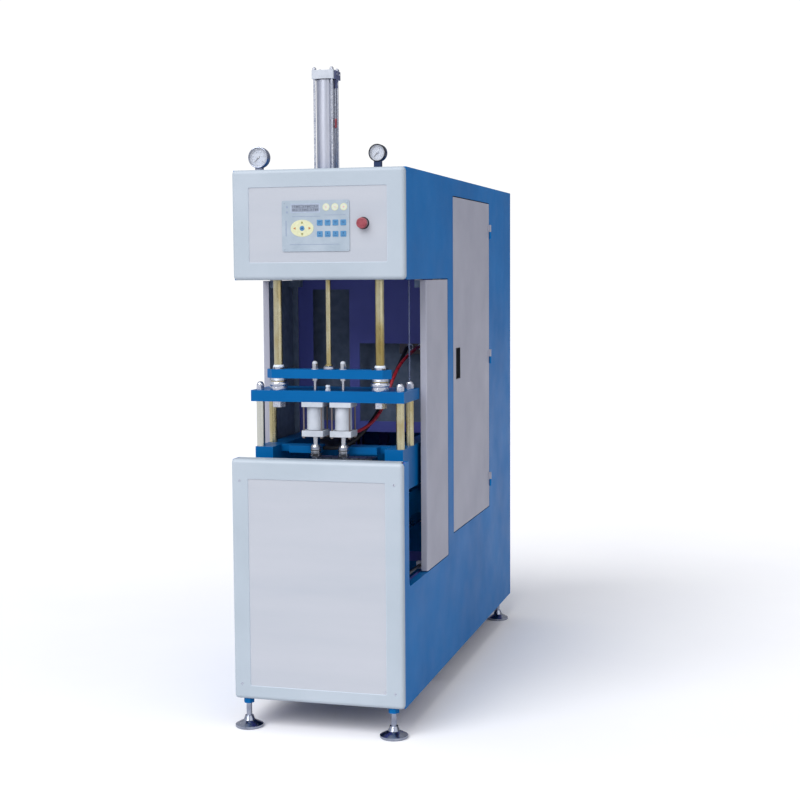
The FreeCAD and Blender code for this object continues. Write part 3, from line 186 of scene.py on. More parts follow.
def pillar_steel():
    """Passivated like the guide rods; the front left pillar is drawn paler, near white: a painted highlight.
    """
    material = metal("passivated_steel_with_painted_glare", PASSIVATED_TONES, 0.16, 0.3, 70, (1, 1, 0.35))
    tree = material.node_tree
    shader = tree.nodes["Principled BSDF"]
    ramp = shader.inputs["Base Color"].links[0].from_node
    place = add(tree, "TexCoord", {})
    out = add(tree, "VectorMath", {"operation": "DOT_PRODUCT", 1: TO_FRONT_LEFT}, [(0, place, "Object")])
    nearest, furthest = PAINTED_GLARE_FROM
    # painted highlight: the front left pillar goes over to the pale tone
    glare = add(tree, "MapRange", {"From Min": nearest, "From Max": furthest}, [("Value", out, "Value")])
    lay_over(tree, shader, ramp, PAINTED_GLARE_TONE, glare)
    return material


def moulded(name, tones, low, high, patch, **sockets):
    """Moulded plastic or rubber, with a fine spark-eroded grain of 1 mm drawn at 2 mm."""
    return surface(name, {"IOR": 1.5, **sockets}, (tones, patch), (low, high, patch / 2), (2, 0.03, 0.4))


def ink(name, tone, darker):
    """Screen ink under film, even with a slight mottle from the mesh."""
    return moulded("screen_ink_" + name, (darker, tone), 0.34, 0.44, 8)


ZINC = metal("bright_zinc_plate", ("#b9bfce", "#cdd1dc", "#dfe1e8"), 0.2, 0.38, 12)     # faintly blue, cloudy
# in the paints below, the lone colour after the roughness is the edge tone: painted highlight along edges,
# with slight wear
FINISH = {
    # stoved enamels: deep blue casing, violet-blue frame, and the press plates' blue, brushed on
    "casing_blue": baked_enamel("stoved_enamel_casing_blue", ("#0a66a9", "#0c6cb1", "#1072b8"), 0.38,
        "#3080c0", 0.07),
    "frame_blue": baked_enamel("stoved_enamel_frame_violet_blue", ("#5058a6", "#5860b2", "#6068ba"), 0.42,
        "#848cc8"),
    "machine_blue": baked_enamel("brushed_on_enamel_plate_blue", ("#025894", "#035d9a", "#0562a1"), 0.34,
        "#3684be", 0.08),
    # powder coats of the covers and doors
    "cover_paint": powder_coat("powder_coat_cover_pale_blue_grey", ("#a6b1bb", "#aab5bf", "#afb9c3"), 6, 0.46,
        "#d2dce4"),
    # roller coated sheet let into the covers: matt, with faint long streaks along the roller's way
    "inset_paint": surface("roller_coated_sheet_warm_grey", {"IOR": 1.48},
        (("#aeb3bc", "#b3b7bf", "#b7bac2"), 160, (0.12, 1, 1), 6.0), (0.42, 0.56, 90, (0.1, 1, 1)),
        (5, 0.03, 0.3, (0.15, 1, 1))),
    "door_grey": powder_coat("powder_coat_door_pale_grey", ("#a1a2b0", "#a7a8b5", "#acadba"), 6, 0.5,
        "#c8cad6"),
    # cylindrically ground: rings a fraction of a millimetre apart, drawn at 2.5 mm so that they show
    "ground_steel": metal("ground_carbon_steel", ("#b4b8c0", "#c4c7cd", "#d2d4d8"), 0.16, 0.3, 60,
        (0.2, 0.2, 1)),
    "passivated_steel": metal("yellow_passivated_steel", PASSIVATED_TONES, 0.16, 0.3, 70, (1, 1, 0.35)),
    # cast aluminium under off-white lacquer: smooth, with a slight casting grain of 3 mm, and paler edges:
    # painted highlight with slight wear
    "cylinder_white": surface("lacquered_cast_aluminium_off_white", {"IOR": 1.5},
        (("#b2b8c2", "#bbc1ca", "#c3c8d1"), 45), (0.3, 0.45, 20), (3, 0.06, 0.5), ("#e4e8ee", 1.2, 0.5)),
    # extruded tube: satin, with draw lines along its length
    "anodised": metal("clear_anodised_aluminium", ("#b4b9c6", "#bfc3cf", "#c9ccd6"), 0.34, 0.46, 30,
        (1, 1, 0.05)),
    # decorative chrome on turned pads: a mirror with fine hazy patches from handling
    "chrome": metal("bright_chrome_plate", ("#969cac", "#a4aaba", "#b4b9c6"), 0.14, 0.28, 25),
    "zinc_plate": ZINC,
    "dial_case": ZINC,
    # ground steel bars drawn almost black, painted shade where they sit in shadow, with the sheen of the
    # ground surface kept
    "blackened_steel": metal("ground_steel_drawn_dark_for_shade", ("#2c2d33", "#383a42", "#45474f"), 0.3, 0.45, 50,
        (1, 0.2, 1)),
    # moulded and extruded plastics and rubber
    "black_plastic": moulded("moulded_nylon_black", ("#121319", "#191b22", "#20222a"), 0.42, 0.6, 15),
    "red_plastic": moulded("moulded_abs_signal_red", ("#84343f", "#914049", "#9d4a54"), 0.26, 0.38, 14),
    "hose_black": moulded("nitrile_rubber_black", ("#15161c", "#1c1d24", "#26272e"), 0.55, 0.72, 18),
    # glossy and slightly translucent hose; milky, see-through tube
    "hose_red": moulded("polyurethane_hose_red", ("#a3202c", "#b92a36", "#c8404a"), 0.24, 0.38, 40,
        **{"Transmission Weight": 0.08, "Coat Weight": 0.2}),
    "tube_clear": moulded("natural_nylon_tube", ("#5f6988", "#707b98"), 0.3, 0.42, 30, Alpha=0.4),
    # polyester film, screened on its back: silky, in a very pale blue
    "keypad_film": moulded("screened_polyester_film_pale_blue", ("#97a5b1", "#9eabb7", "#a5b1bc"), 0.34, 0.46,
        60),
}
DIAL = moulded("enamelled_dial_white", ("#bcc3cf", "#c9cfd9"), 0.4, 0.5, 12)
# flat mineral glass, faintly dusty: thin enough to need no bending of light, only gloss
GLASS = surface("mineral_glass_clear", {"IOR": 1.52, "Alpha": 0.12}, (("#e8ecf4", "#f4f6fa"), 14),
                (0.02, 0.1, 9), (12, 0.01, 0.1))
# galvanised sheet: dull grey, in soft spangles about 30 mm across
GALVANISED = surface("galvanised_sheet", {"Metallic": 1.0}, (("#9ea4ae", "#a9aeb8", "#b3b8c1"), 30),
                     (0.38, 0.5, 40), (20, 0.02, 0.15))
# milled mould blocks: satin, with cutter marks 4 mm apart
MOULD_METAL = metal("milled_aluminium", ("#b6bac4", "#c6c9d1", "#d4d6db"), 0.24, 0.42, 20, (1, 1, 0.2))
INK_BLUE = ink("key_blue", "#4c86b2", "#437ba8")
INK_CREAM = ink("key_cream", "#cdd2c2", "#c4cab9")
INK_YELLOW = ink("pad_yellow", "#d3d4b0", "#c9caa4")
INK_GREY = ink("line_grey", "#8f9bb0", "#8592a8")
INK_DARK = ink("display_dark", "#3c4352", "#343b49")
INK_OLIVE = ink("arrow_olive", "#8d8a4a", "#7f7c40")
INK_LINE = ink("surround_grey", "#a9b4c6", "#9ca8bb")
INK_NAVY = ink("navy", "#1f5384", "#194a78")
INK_ROSE = ink("rose", "#d9a9a4", "#cf9c98")
INK_RUST = ink("rust", "#b5763c", "#a86a32")
DISPLAY = moulded("liquid_crystal_grey", ("#808999", "#8b94a4"), 0.34, 0.44, 8)
NAVY_CASE = baked_enamel("stoved_enamel_navy", ("#22304f", "#293a5c", "#314468"), 0.4, "#6d7b98")
GREY_CASE = baked_enamel("stoved_enamel_mid_grey", ("#6f7482", "#797e8c", "#848997"), 0.4, "#a6aab6")
# slate: the flow control's own dark colour, and painted shade where the port block covers the cap's right
# side
SLATE = baked_enamel("stoved_enamel_slate", ("#4a5070", "#53597a", "#5d6385"), 0.4, "#8b90ac")
# slate sheet put where the work space is in shade: painted shade
SHADE_SHEET = moulded("slate_sheet_painted_shade", ("#5f6f88", "#697a94", "#74849e"), 0.7, 0.85, 26)
PALE_NYLON = moulded("moulded_nylon_pale", ("#c9d4e6", "#d6deec"), 0.4, 0.55, 15)
BEAD = moulded("vinyl_bead_pale_grey", ("#b4bfcc", "#bfc9d5"), 0.45, 0.6, 30)

SLOT_OF = {part["node"]: part["material_slot"] for part in frame["record"]["subparts"]}
for node_name, cad in frame["nodes"].items():
    cad.data.materials.clear()
    cad.data.materials.append(FINISH[SLOT_OF[node_name]])
SPECIAL = {
    "mould_front": MOULD_METAL,
    "mould_rear": MOULD_METAL,
    "pillars": pillar_steel(),
    # extruded manifold: dark grey-violet with a silky face
    "air_manifold": metal("black_anodised_aluminium", ("#3b3a42", "#48454c", "#54504f"), 0.35, 0.5, 25),
    "hinge_pins": FINISH["casing_blue"],
    # drawn bar, phosphated and oiled: warm dark grey
    "seal_tie_rods": metal("phosphated_steel", ("#6a605e", "#7c7270", "#8d8582"), 0.32, 0.46, 30,
        (1, 1, 0.1)),
    "gauge_left": GREY_CASE,
    "gauge_right": NAVY_CASE,
}
for node_name, material in SPECIAL.items():
    frame["nodes"][node_name].data.materials[0] = material


# --- shapes
def block(bm, low, high, edge=0.0):
    """A box between two corners, with its edges rounded by so many millimetres."""
    low, high = Vector(low), Vector(high)
    corners = bmesh.ops.create_cube(bm, size=1)["verts"]
    for vert in corners:
        vert.co = Vector(low[i] + (vert.co[i] + 0.5) * (high[i] - low[i]) for i in range(3))
    if edge:
        edges = list({e for vert in corners for e in vert.link_edges})
        bmesh.ops.bevel(bm, geom=edges, offset=edge * MM, segments=2, profile=0.5, affect="EDGES")


def turned(bm, profile, at, along, steps=32):
    """Spins (radius, distance along) points, in millimetres, about an axis through `at`; open ends are
    closed flat."""
    along = Vector(along).normalized()
    side = along.orthogonal().normalized()
    across = along.cross(side)
    rings = []
    for radius, distance in profile:
        centre = Vector(at) + along * (distance * MM)
        if radius == 0:
            rings.append([bm.verts.new(centre)] * steps)
            continue
        angles = [2 * math.pi * i / steps for i in range(steps)]
        rings.append([bm.verts.new(centre + radius * MM * (side * math.cos(a) + across * math.sin(a)))
                      for a in angles])
    for near, far in zip(rings, rings[1:]):
        for i in range(steps):
            corners = [near[i - 1], near[i], far[i], far[i - 1]]
            bm.faces.new(list(dict.fromkeys(corners)))
    if profile[0] != profile[-1]:
        for ring, (radius, _) in ((rings[0], profile[0]), (rings[-1], profile[-1])):
            if radius:
                bm.faces.new(ring)
    bmesh.ops.remove_doubles(bm, verts=[v for ring in rings for v in set(ring)], dist=1e-7)


def hoop(bm, radius, thick, at, along, steps=40, sides=10):
    """A round-section ring, such as a bead or an O-ring, in millimetres."""
    around = [2 * math.pi * i / sides for i in range(sides + 1)]
    profile = [(radius + thick * math.cos(a), thick * math.sin(a)) for a in around]
    profile[-1] = profile[0]
    turned(bm, profile, at, along, steps)


def outline_plate(bm, outline, at, thickness, edge=0.0):
    """A flat shape seen from the operator's end: (x, z) points about `at`, standing out by thickness."""
    back = [bm.verts.new(Vector(at) + Vector((x, 0, z))) for x, z in outline]
    front = [bm.verts.new(v.co + TO_OPERATOR * thickness) for v in back]
    inner = front
    if edge:
        middle = sum((v.co for v in front), Vector()) / len(front)
        inner = []
        for vert in front:
            inward = middle - vert.co
            inner.append(bm.verts.new(vert.co + inward.normalized() * edge))
            vert.co -= TO_OPERATOR * edge
    for i in range(len(outline)):
        bm.faces.new([back[i - 1], back[i], front[i], front[i - 1]])
        if edge:
            bm.faces.new([front[i - 1], front[i], inner[i], inner[i - 1]])
    bm.faces.new(inner)
    bm.faces.new(back)


def rounded_rectangle(width, height, radius, steps=6):
    """Points of a rectangle with rounded corners, about its middle."""
    points = []
    for quarter, (sx, sz) in enumerate(((1, 1), (-1, 1), (-1, -1), (1, -1))):
        x, z = sx * (width / 2 - radius), sz * (height / 2 - radius)
        for i in range(steps + 1):
            angle = (quarter + i / steps) * math.pi / 2
            points.append((x + radius * math.cos(angle), z + radius * math.sin(angle)))
    return points


def ellipse(half_width, half_height, steps=48):
    angles = [2 * math.pi * i / steps for i in range(steps)]
    return [(half_width * math.cos(a), half_height * math.sin(a)) for a in angles]


def turn(points, degrees):
    c, s = math.cos(math.radians(degrees)), math.sin(math.radians(degrees))
    return [(x * c - z * s, x * s + z * c) for x, z in points]


def hex_nut(bm, across, height, at, along):
    """A hexagon standing on `at`, chamfered at its far end; in millimetres."""
    corner = across / math.sqrt(3)
    chamfer = 0.08 * across
    turned(bm, [(corner, 0), (corner, height - chamfer / 2), (corner - chamfer, height)], at, along, 6)


def pan_head(bm, at, along, radius):
    """A cross-recessed pan head screw on a washer; its radius is in millimetres."""
    dome = 0.55 * radius
    washer = 1.35 * radius
    turned(bm, [(washer, 0), (washer, 0.12 * radius), (radius, 0.14 * radius), (radius, 0.3 * radius),
                (0.82 * radius, dome), (0.4 * radius, 0.95 * dome), (0.3 * radius, 0.45 * dome),
                (0, 0.35 * dome)], at, along, 20)


SMOOTH_BELOW = math.radians(35)      # edges that fold by less are shaded smooth


def finished(name, bm, slot, body="machine", material=None):
    """Makes the piece, gives it that slot's material or its own, and lets it ride on a body."""
    bmesh.ops.recalc_face_normals(bm, faces=bm.faces)
    mesh = bpy.data.meshes.new(name)
    bm.to_mesh(mesh)
    bm.free()
    mesh.materials.append(material or FINISH[slot])
    mesh.shade_smooth()
    mesh.set_sharp_from_angle(angle=SMOOTH_BELOW)
    piece = bpy.data.objects.new(name, mesh)
    bpy.context.scene.collection.objects.link(piece)
    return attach(piece, body)


def turned_piece(name, profile, places, along, steps, slot, body="machine", material=None):
    """One piece made of the same turned shape, in millimetres, at every place."""
    bm = bmesh.new()
    for at in places:
        turned(bm, profile, at, along, steps)
    return finished(name, bm, slot, body, material)


def middle_of(node):
    low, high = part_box(node)
    return (low + high) / 2


# --- operator's panel
PANEL_LAP = 7 * MM            # an inset sheet laps this far behind its cover
COVER_BORDER = 24 * MM        # from the edge of an inset sheet out to the cover's screws
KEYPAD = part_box("control_keypad")
KEYPAD_MIDDLE = middle_of("control_keypad")
FILM = KEYPAD[0].y            # front of the keypad's film


def on_film(x, z, lift=0.0):
    """A place on the keypad, in millimetres from its middle."""
    return Vector((KEYPAD_MIDDLE.x + x * MM, FILM - lift * MM, KEYPAD_MIDDLE.z + z * MM))


def film_shape(name, shapes, material, thick=0.4, edge=0.15, slot="keypad_film"):
    """Flat printed or pressed shapes on the film: (outline in mm, x, z) each."""
    bm = bmesh.new()
    for outline, x, z in shapes:
        points = [(px * MM, pz * MM) for px, pz in outline]
        outline_plate(bm, points, on_film(x, z), thick * MM, edge * MM)
    return finished(name, bm, slot, material=material)


def bar(width, height):
    x, z = width / 2, height / 2
    return [(x, z), (-x, z), (-x, -z), (x, -z)]


def arrow(size, degrees=0):
    return turn([(size, 0), (-size * 0.6, size * 0.85), (-size * 0.6, -size * 0.85)], degrees)


KEY_X = (15.5, 44.0, 72.5, 101.0)
KEY_Z = (10.5, -28.5)
ROUND_KEY_X = (39.0, 71.0, 103.0)
ROUND_KEY_Z = 64.0
PAD_AT = (-49.0, -8.0)
PAD_HALF = (42.0, 29.5)
DISPLAY_AT = (-37.0, 61.5)
DISPLAY_SIZE = (100.0, 24.0)


def keypad_display():
    """Two-line character display in a dark surround: each character is a few cells of a small grid."""
    width, height = DISPLAY_SIZE
    surround = rounded_rectangle(width + 8, height + 8, 3)
    film_shape("display_surround", [(surround, *DISPLAY_AT)], INK_LINE, 0.3, 0.1)
    film_shape("display_glass", [(rounded_rectangle(width, height, 1.5), *DISPLAY_AT)], DISPLAY, 0.6, 0.15)
    characters, rows = 16, 2
    pitch = (width - 6) / characters
    cells = []
    for row in range(rows):
        for i in range(characters):
            shape = (i * 5 + row * 3) % 7
            x = DISPLAY_AT[0] - width / 2 + 3 + pitch * (i + 0.5)
            z = DISPLAY_AT[1] + (0.5 - row) * height * 0.46
            for bit, (dx, dz, w, h) in enumerate(((-1.4, 0, 0.9, 7.6), (1.4, 0, 0.9, 7.6), (0, 3.4, 3.6, 0.9),
                                                  (0, 0, 3.0, 0.9), (0, -3.4, 3.6, 0.9))):
                if shape >> (bit % 3) & 1 or bit == shape % 5:
                    cells.append((bar(w, h), x + dx, z + dz))
    film_shape("display_characters", cells, INK_DARK, 0.75, 0.05)


def keypad_keys():
    key = rounded_rectangle(21, 20, 2.5)
    film_shape("square_keys", [(key, x, z) for x in KEY_X for z in KEY_Z], INK_BLUE, 1.1, 0.5)
    marks = []
    for i, x in enumerate(KEY_X):
        marks += [(bar(11, 1.8), x, KEY_Z[0] + 4), (bar(7, 1.8), x - 2 + i, KEY_Z[0] - 1)]
        marks += [(arrow(3.6, 90 * i), x, KEY_Z[1] + 2.5), (bar(11, 1.6), x, KEY_Z[1] - 5)]
    film_shape("square_key_marks", marks, INK_NAVY, 1.25, 0.05)
    rims = [(ellipse(12.5, 12.5), x, ROUND_KEY_Z) for x in ROUND_KEY_X]
    film_shape("round_key_rims", rims, INK_YELLOW, 0.8, 0.4)
    film_shape("round_keys", [(ellipse(10, 10), x, ROUND_KEY_Z) for x in ROUND_KEY_X], INK_CREAM, 1.1, 0.4)
    symbols = [(bar(2.6, 9), ROUND_KEY_X[0], ROUND_KEY_Z), (bar(8, 2), ROUND_KEY_X[1], ROUND_KEY_Z),
               (arrow(4.5), ROUND_KEY_X[2], ROUND_KEY_Z)]
    film_shape("round_key_symbols", symbols, INK_ROSE, 1.2, 0.05)


def keypad_pad():
    film_shape("direction_pad", [(ellipse(*PAD_HALF), *PAD_AT)], INK_YELLOW, 0.9, 0.6)
    film_shape("direction_pad_middle", [(ellipse(9, 9), *PAD_AT)], INK_BLUE, 1.4, 0.5)
    film_shape("direction_pad_middle_mark", [(ellipse(3.4, 3.4, 16), *PAD_AT)], INK_NAVY, 1.5, 0.1)
    across = [(arrow(5.4, degrees), PAD_AT[0] + dx, PAD_AT[1]) for dx, degrees in ((27, 0), (-27, 180))]
    upright = [(arrow(5.4, degrees), PAD_AT[0], PAD_AT[1] + dz) for dz, degrees in ((20, 90), (-20, -90))]
    film_shape("direction_arrows_side", across, INK_RUST, 1.3, 0.2)
    film_shape("direction_arrows_upright", upright, INK_OLIVE, 1.3, 0.2)


def keypad_lines():
    lines = [(bar(104, 1.8), -34, 33), (bar(78, 1.8), 71, 37), (bar(182, 1.8), -4, -64)]
    lines += [(bar(7, 7), -104, 66), (bar(7, 7), -104, 48), (bar(3.5, 54), -108, -8)]
    film_shape("keypad_lines", lines, INK_GREY, 0.25, 0.05)
    half_x, _, half_z = (KEYPAD[1] - KEYPAD[0]) / MM / 2
    corners = [on_film(sx * (half_x - 8), sz * (half_z - 8)) for sx in SIDES for sz in SIDES]
    turned_piece("keypad_rivets", [(2.6, 0), (2.6, 0.5), (1.6, 1.1), (0, 1.2)], corners, TO_OPERATOR, 16,
                 "keypad_film")


def stop_button_ring():
    """Ring pressed round the mushroom head, and the guard ring on the sheet behind it."""
    low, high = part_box("stop_button")
    x, _, z = middle_of("stop_button")
    radius = (high.x - low.x) / 2 / MM
    bm = bmesh.new()
    hoop(bm, radius * 0.62, 0.9, (x, low.y, z), TO_OPERATOR)
    finished("stop_button_ring", bm, "red_plastic", "stop_push")
    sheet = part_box("head_front_panel")[0].y
    outer, inner = radius * 1.12, radius * 1.12 - 3.5
    turned_piece("stop_button_guard_ring",
                 [(inner, 0), (outer, 0), (outer, 2), (outer - 1, 3), (inner, 3), (inner, 0)],
                 [(x, sheet, z)], TO_OPERATOR, 48, "black_plastic")


# --- cover screws and beads
def cover_screws():
    """Screws in the base cover's border, beside each corner of its inset sheet, and one in the sheet."""
    low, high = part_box("base_front_panel")
    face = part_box("base_cap")[0].y
    bm = bmesh.new()
    for x in (low.x - COVER_BORDER, high.x + COVER_BORDER):
        for z in (low.z + 2 * PANEL_LAP, high.z - 2 * PANEL_LAP):
            pan_head(bm, (x, face, z), TO_OPERATOR, 3.2)
    pan_head(bm, (high.x - 2 * PANEL_LAP, low.y, low.z + 2.4 * PANEL_LAP), TO_OPERATOR, 2.6)
    finished("base_cover_screws", bm, "zinc_plate")


def window_beads():
    """Thin sealing bead laid in the step between each cover and its inset sheet."""
    for inset, name in (("base_front_panel", "base_window_bead"), ("head_front_panel", "head_window_bead")):
        low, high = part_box(inset)
        width, height = high.x - low.x - 2 * PANEL_LAP, high.z - low.z - 2 * PANEL_LAP
        x, _, z = middle_of(inset)
        middle = Vector((x, low.y, z))
        bm = bmesh.new()
        outer = rounded_rectangle(width, height, 6 * MM)
        inner = rounded_rectangle(width - 3 * MM, height - 3 * MM, 4.5 * MM)
        lift = 0.9 * MM
        loops = [[bm.verts.new(middle + Vector((x, -y, z))) for x, z in ring]
                 for ring, y in ((outer, 0), (outer, lift), (inner, 0))]
        for near, far in zip(loops, loops[1:] + loops[:1]):
            for i in range(len(near)):
                bm.faces.new([near[i - 1], near[i], far[i], far[i - 1]])
        finished(name, bm, "inset_paint", material=BEAD)


# --- gauges
DIAL_T = 0.6                  # millimetres: thickness of a dial plate
DIAL_FROM, DIAL_SWEEP = 225, 270      # degrees: zero low on the left, then clockwise


def dial_angle(share):
    """Angle of a place on a dial, at that share of the scale."""
    return math.radians(DIAL_FROM - DIAL_SWEEP * share)


def on_dial(face, reach, angle):
    return face + Vector((reach * math.cos(angle), 0, reach * math.sin(angle)))


def gauge_detail(side, rim_slot, marks):
    """Rim, glass, dial plate, scale, numbers and hub of one pressure gauge."""
    node = f"gauge_{side}"
    low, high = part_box(node)
    pointer_low, pointer_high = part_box(f"pointer_{side}")
    radius = (high.x - low.x) / 2 / MM
    glass, lip = radius - 3, radius + 0.5
    centre = Vector((middle_of(node).x, low.y, high.z - radius * MM))
    turned_piece(f"{node}_rim",
                 [(glass, 1.5), (glass, -0.9), (radius - 1.8, -1.5), (radius - 0.6, -1.2), (lip, 0.5),
                  (lip, 7), (radius, 7.5), (radius, 1.5), (glass, 1.5)], [centre], TO_REAR, 64, rim_slot)
    turned_piece(f"{node}_glass", [(0, 0.1), (glass, 0.1), (glass, 1.3), (0, 1.3)], [centre], TO_REAR, 64,
                 "tube_clear", material=GLASS)
    plate = Vector((centre.x, pointer_high.y + 2 * MM, centre.z))
    turned_piece(f"{node}_dial", [(0, 0), (glass - 0.3, 0), (glass - 0.3, -DIAL_T), (0, -DIAL_T)], [plate],
                 TO_REAR, 64, "dial_case", material=DIAL)
    face = plate + TO_OPERATOR * DIAL_T * MM
    scale = 0.78 * glass * MM
    bm = bmesh.new()
    for i in range(51):
        angle = dial_angle(i / 50)
        length, width = (4.2 * MM, 0.8 * MM) if i % 5 == 0 else (2.2 * MM, 0.35 * MM)
        mark = turn(bar(length, width), math.degrees(angle))
        outline_plate(bm, mark, on_dial(face, scale + 1 * MM - length / 2, angle), 0.15 * MM)
    inside, outside = scale + 1.1 * MM, scale + 1.6 * MM
    arc = [dial_angle(i / 60) for i in range(61)]
    for a, b in zip(arc, arc[1:]):
        ring = [(r * math.cos(t), r * math.sin(t)) for r, t in
                ((outside, a), (outside, b), (inside, b), (inside, a))]
        outline_plate(bm, ring, face, 0.15 * MM)
    finished(f"{node}_scale", bm, "black_plastic", material=INK_DARK)
    for i in range(6):
        words = bpy.data.curves.new(f"{node}_number_{i}", "FONT")
        words.body = str(i * marks)
        words.size = 5.6 * MM
        words.extrude = 0.08 * MM
        words.align_x = words.align_y = "CENTER"
        words.materials.append(INK_DARK)
        number = bpy.data.objects.new(words.name, words)
        at = on_dial(face + TO_OPERATOR * 0.1 * MM, scale - 6.2 * MM, dial_angle(i / 5))
        number.matrix_world = Matrix.Translation(at) @ Matrix.Rotation(math.pi / 2, 4, "X")
        bpy.context.scene.collection.objects.link(number)
        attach(number, "machine")
    turned_piece(f"{node}_hub_cap", [(2.2, 0), (2.2, 0.8), (1.2, 1.3), (0, 1.4)],
                 [(centre.x, pointer_low.y, centre.z)], TO_OPERATOR, 24, "zinc_plate", f"needle_{side}")


def gauge_stems():
    """Hexagon and washer under each case, and a round plug at its back."""
    for side, slot, material in (("left", "zinc_plate", None), ("right", "casing_blue", NAVY_CASE)):
        low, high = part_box(f"gauge_{side}")
        x, y = (low.x + high.x) / 2, (low.y + high.y) / 2
        bm = bmesh.new()
        hex_nut(bm, 27, 5, (x, y, low.z), UP)
        turned(bm, [(16, 0), (16, 1.5), (14, 1.8)], (x, y, low.z), UP, 40)
        finished(f"gauge_{side}_union_nut", bm, slot, material=material)
        back = (x, high.y, high.z - (high.x - low.x) / 2)
        turned_piece(f"gauge_{side}_back_plug", [(11, 0), (11, 1.2), (9.5, 2), (0, 2)], [back], TO_REAR, 32,
                     slot, material=material)


# --- stretch cylinder
PORT_PLATE = 5 * MM           # thickness of the port plate on the upper cap
TIE = 32 * MM                 # from the cylinder's axis to its tie rods, each way
SWITCH_AT = 0.46              # height of the reed switch, as a share of the barrel


def stretch_cylinder_detail():
    caps_low, caps_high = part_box("stretch_cylinder_caps")
    barrel_low, barrel_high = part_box("stretch_cylinder_barrel")
    x, y, _ = middle_of("stretch_cylinder_barrel")
    radius = (barrel_high.x - barrel_low.x) / 2
    under_cap = barrel_high.z
    near, far = radius / MM - 1, radius / MM + 1.6
    bm = bmesh.new()
    for z, way in ((under_cap, DOWN), (barrel_low.z, UP)):
        turned(bm, [(near, 0), (far, 0), (far, 2.2), (near, 2.2), (near, 0)], (x, y, z), way, 64)
    finished("stretch_cylinder_seals", bm, "hose_black")

    # port block: screwed to the cap's right side, with a flow control under it; its dark slate over most of
    # that side is painted shade
    face = caps_high.x
    bm = bmesh.new()
    block(bm, (face, y - 30 * MM, under_cap - 2 * MM),
          (face + PORT_PLATE, y + 30 * MM, caps_high.z - 2 * MM), 1.5)
    finished("stretch_port_block", bm, "casing_blue", material=SLATE)
    bm = bmesh.new()
    port = (face - 1 * MM, y - 4 * MM, under_cap - 2 * MM)
    hex_nut(bm, 13, 9, port, DOWN)
    turned(bm, [(5, 8), (5, 19), (6, 20), (6, 27), (5, 29), (3.6, 29), (0, 28)], port, DOWN, 28)
    finished("stretch_flow_control", bm, "casing_blue", material=SLATE)
    screws = [(face + PORT_PLATE, y + dy * MM, (under_cap + caps_high.z) / 2) for dy in (-14, 14)]
    turned_piece("stretch_port_screws", [(4.2, 0), (4.2, 3.2), (2.2, 3.4), (2.2, 1.6), (0, 1.6)], screws,
                 TO_RIGHT, 18, "zinc_plate")

    # sensor rail between the right tie rods, with a red reed switch clamped on it
    rail = x + radius + 0.5 * MM
    bm = bmesh.new()
    block(bm, (rail, y - 6 * MM, barrel_low.z + 3 * MM), (rail + 2.5 * MM, y + 6 * MM, under_cap - 3 * MM),
          0.6)
    finished("sensor_rail", bm, "anodised")
    foot = barrel_low.z + SWITCH_AT * (under_cap - barrel_low.z)
    bm = bmesh.new()
    block(bm, (rail + 2.5 * MM, y - 21 * MM, foot), (rail + 9 * MM, y - 9 * MM, foot + 33 * MM), 2)
    finished("reed_switch", bm, "red_plastic")
    bm = bmesh.new()
    for z in (foot + 5 * MM, foot + 26 * MM):
        block(bm, (rail + 1 * MM, y - 9.5 * MM, z), (rail + 5 * MM, y + 8 * MM, z + 3 * MM), 0.5)
    finished("reed_switch_clips", bm, "zinc_plate")

    # washers under the tie rod nuts, and the roof's gland round the lower cap
    corners = [(x + sx * TIE, y + sy * TIE, caps_high.z) for sx in SIDES for sy in SIDES]
    turned_piece("stretch_tie_washers", [(8.6, 0), (8.6, 1), (7.4, 1.3)], corners, UP, 24, "zinc_plate")
    bm = bmesh.new()
    half, roof = (caps_high.x - caps_low.x) / 2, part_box("roof_panel")[1].z
    thin, long = 3 * MM, half + 6 * MM
    for sx, sy, dx, dy in ((1, 0, thin, long), (-1, 0, thin, long), (0, 1, long, thin), (0, -1, long, thin)):
        at = Vector((x + sx * (half + thin), y + sy * (half + thin), roof))
        block(bm, at - Vector((dx, dy, 0)), at + Vector((dx, dy, 2 * MM)), 0.6)
    finished("roof_gland", bm, "casing_blue")


# --- press
PLATE_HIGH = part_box("sealing_plate")[1]
CROSS_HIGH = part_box("crosshead")[1]
PRESS = middle_of("crosshead")
CAVITY_X = middle_of("nozzle_right").x
RODS_LOW, RODS_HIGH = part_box("guide_rods")
GUIDE_X = (RODS_HIGH.x - RODS_LOW.x) / 2 - 29 * MM      # axis of a guide rod, inside its collar
BUSH_SCREWS = 21 * MM                                   # from a bush's axis to its screws, each way


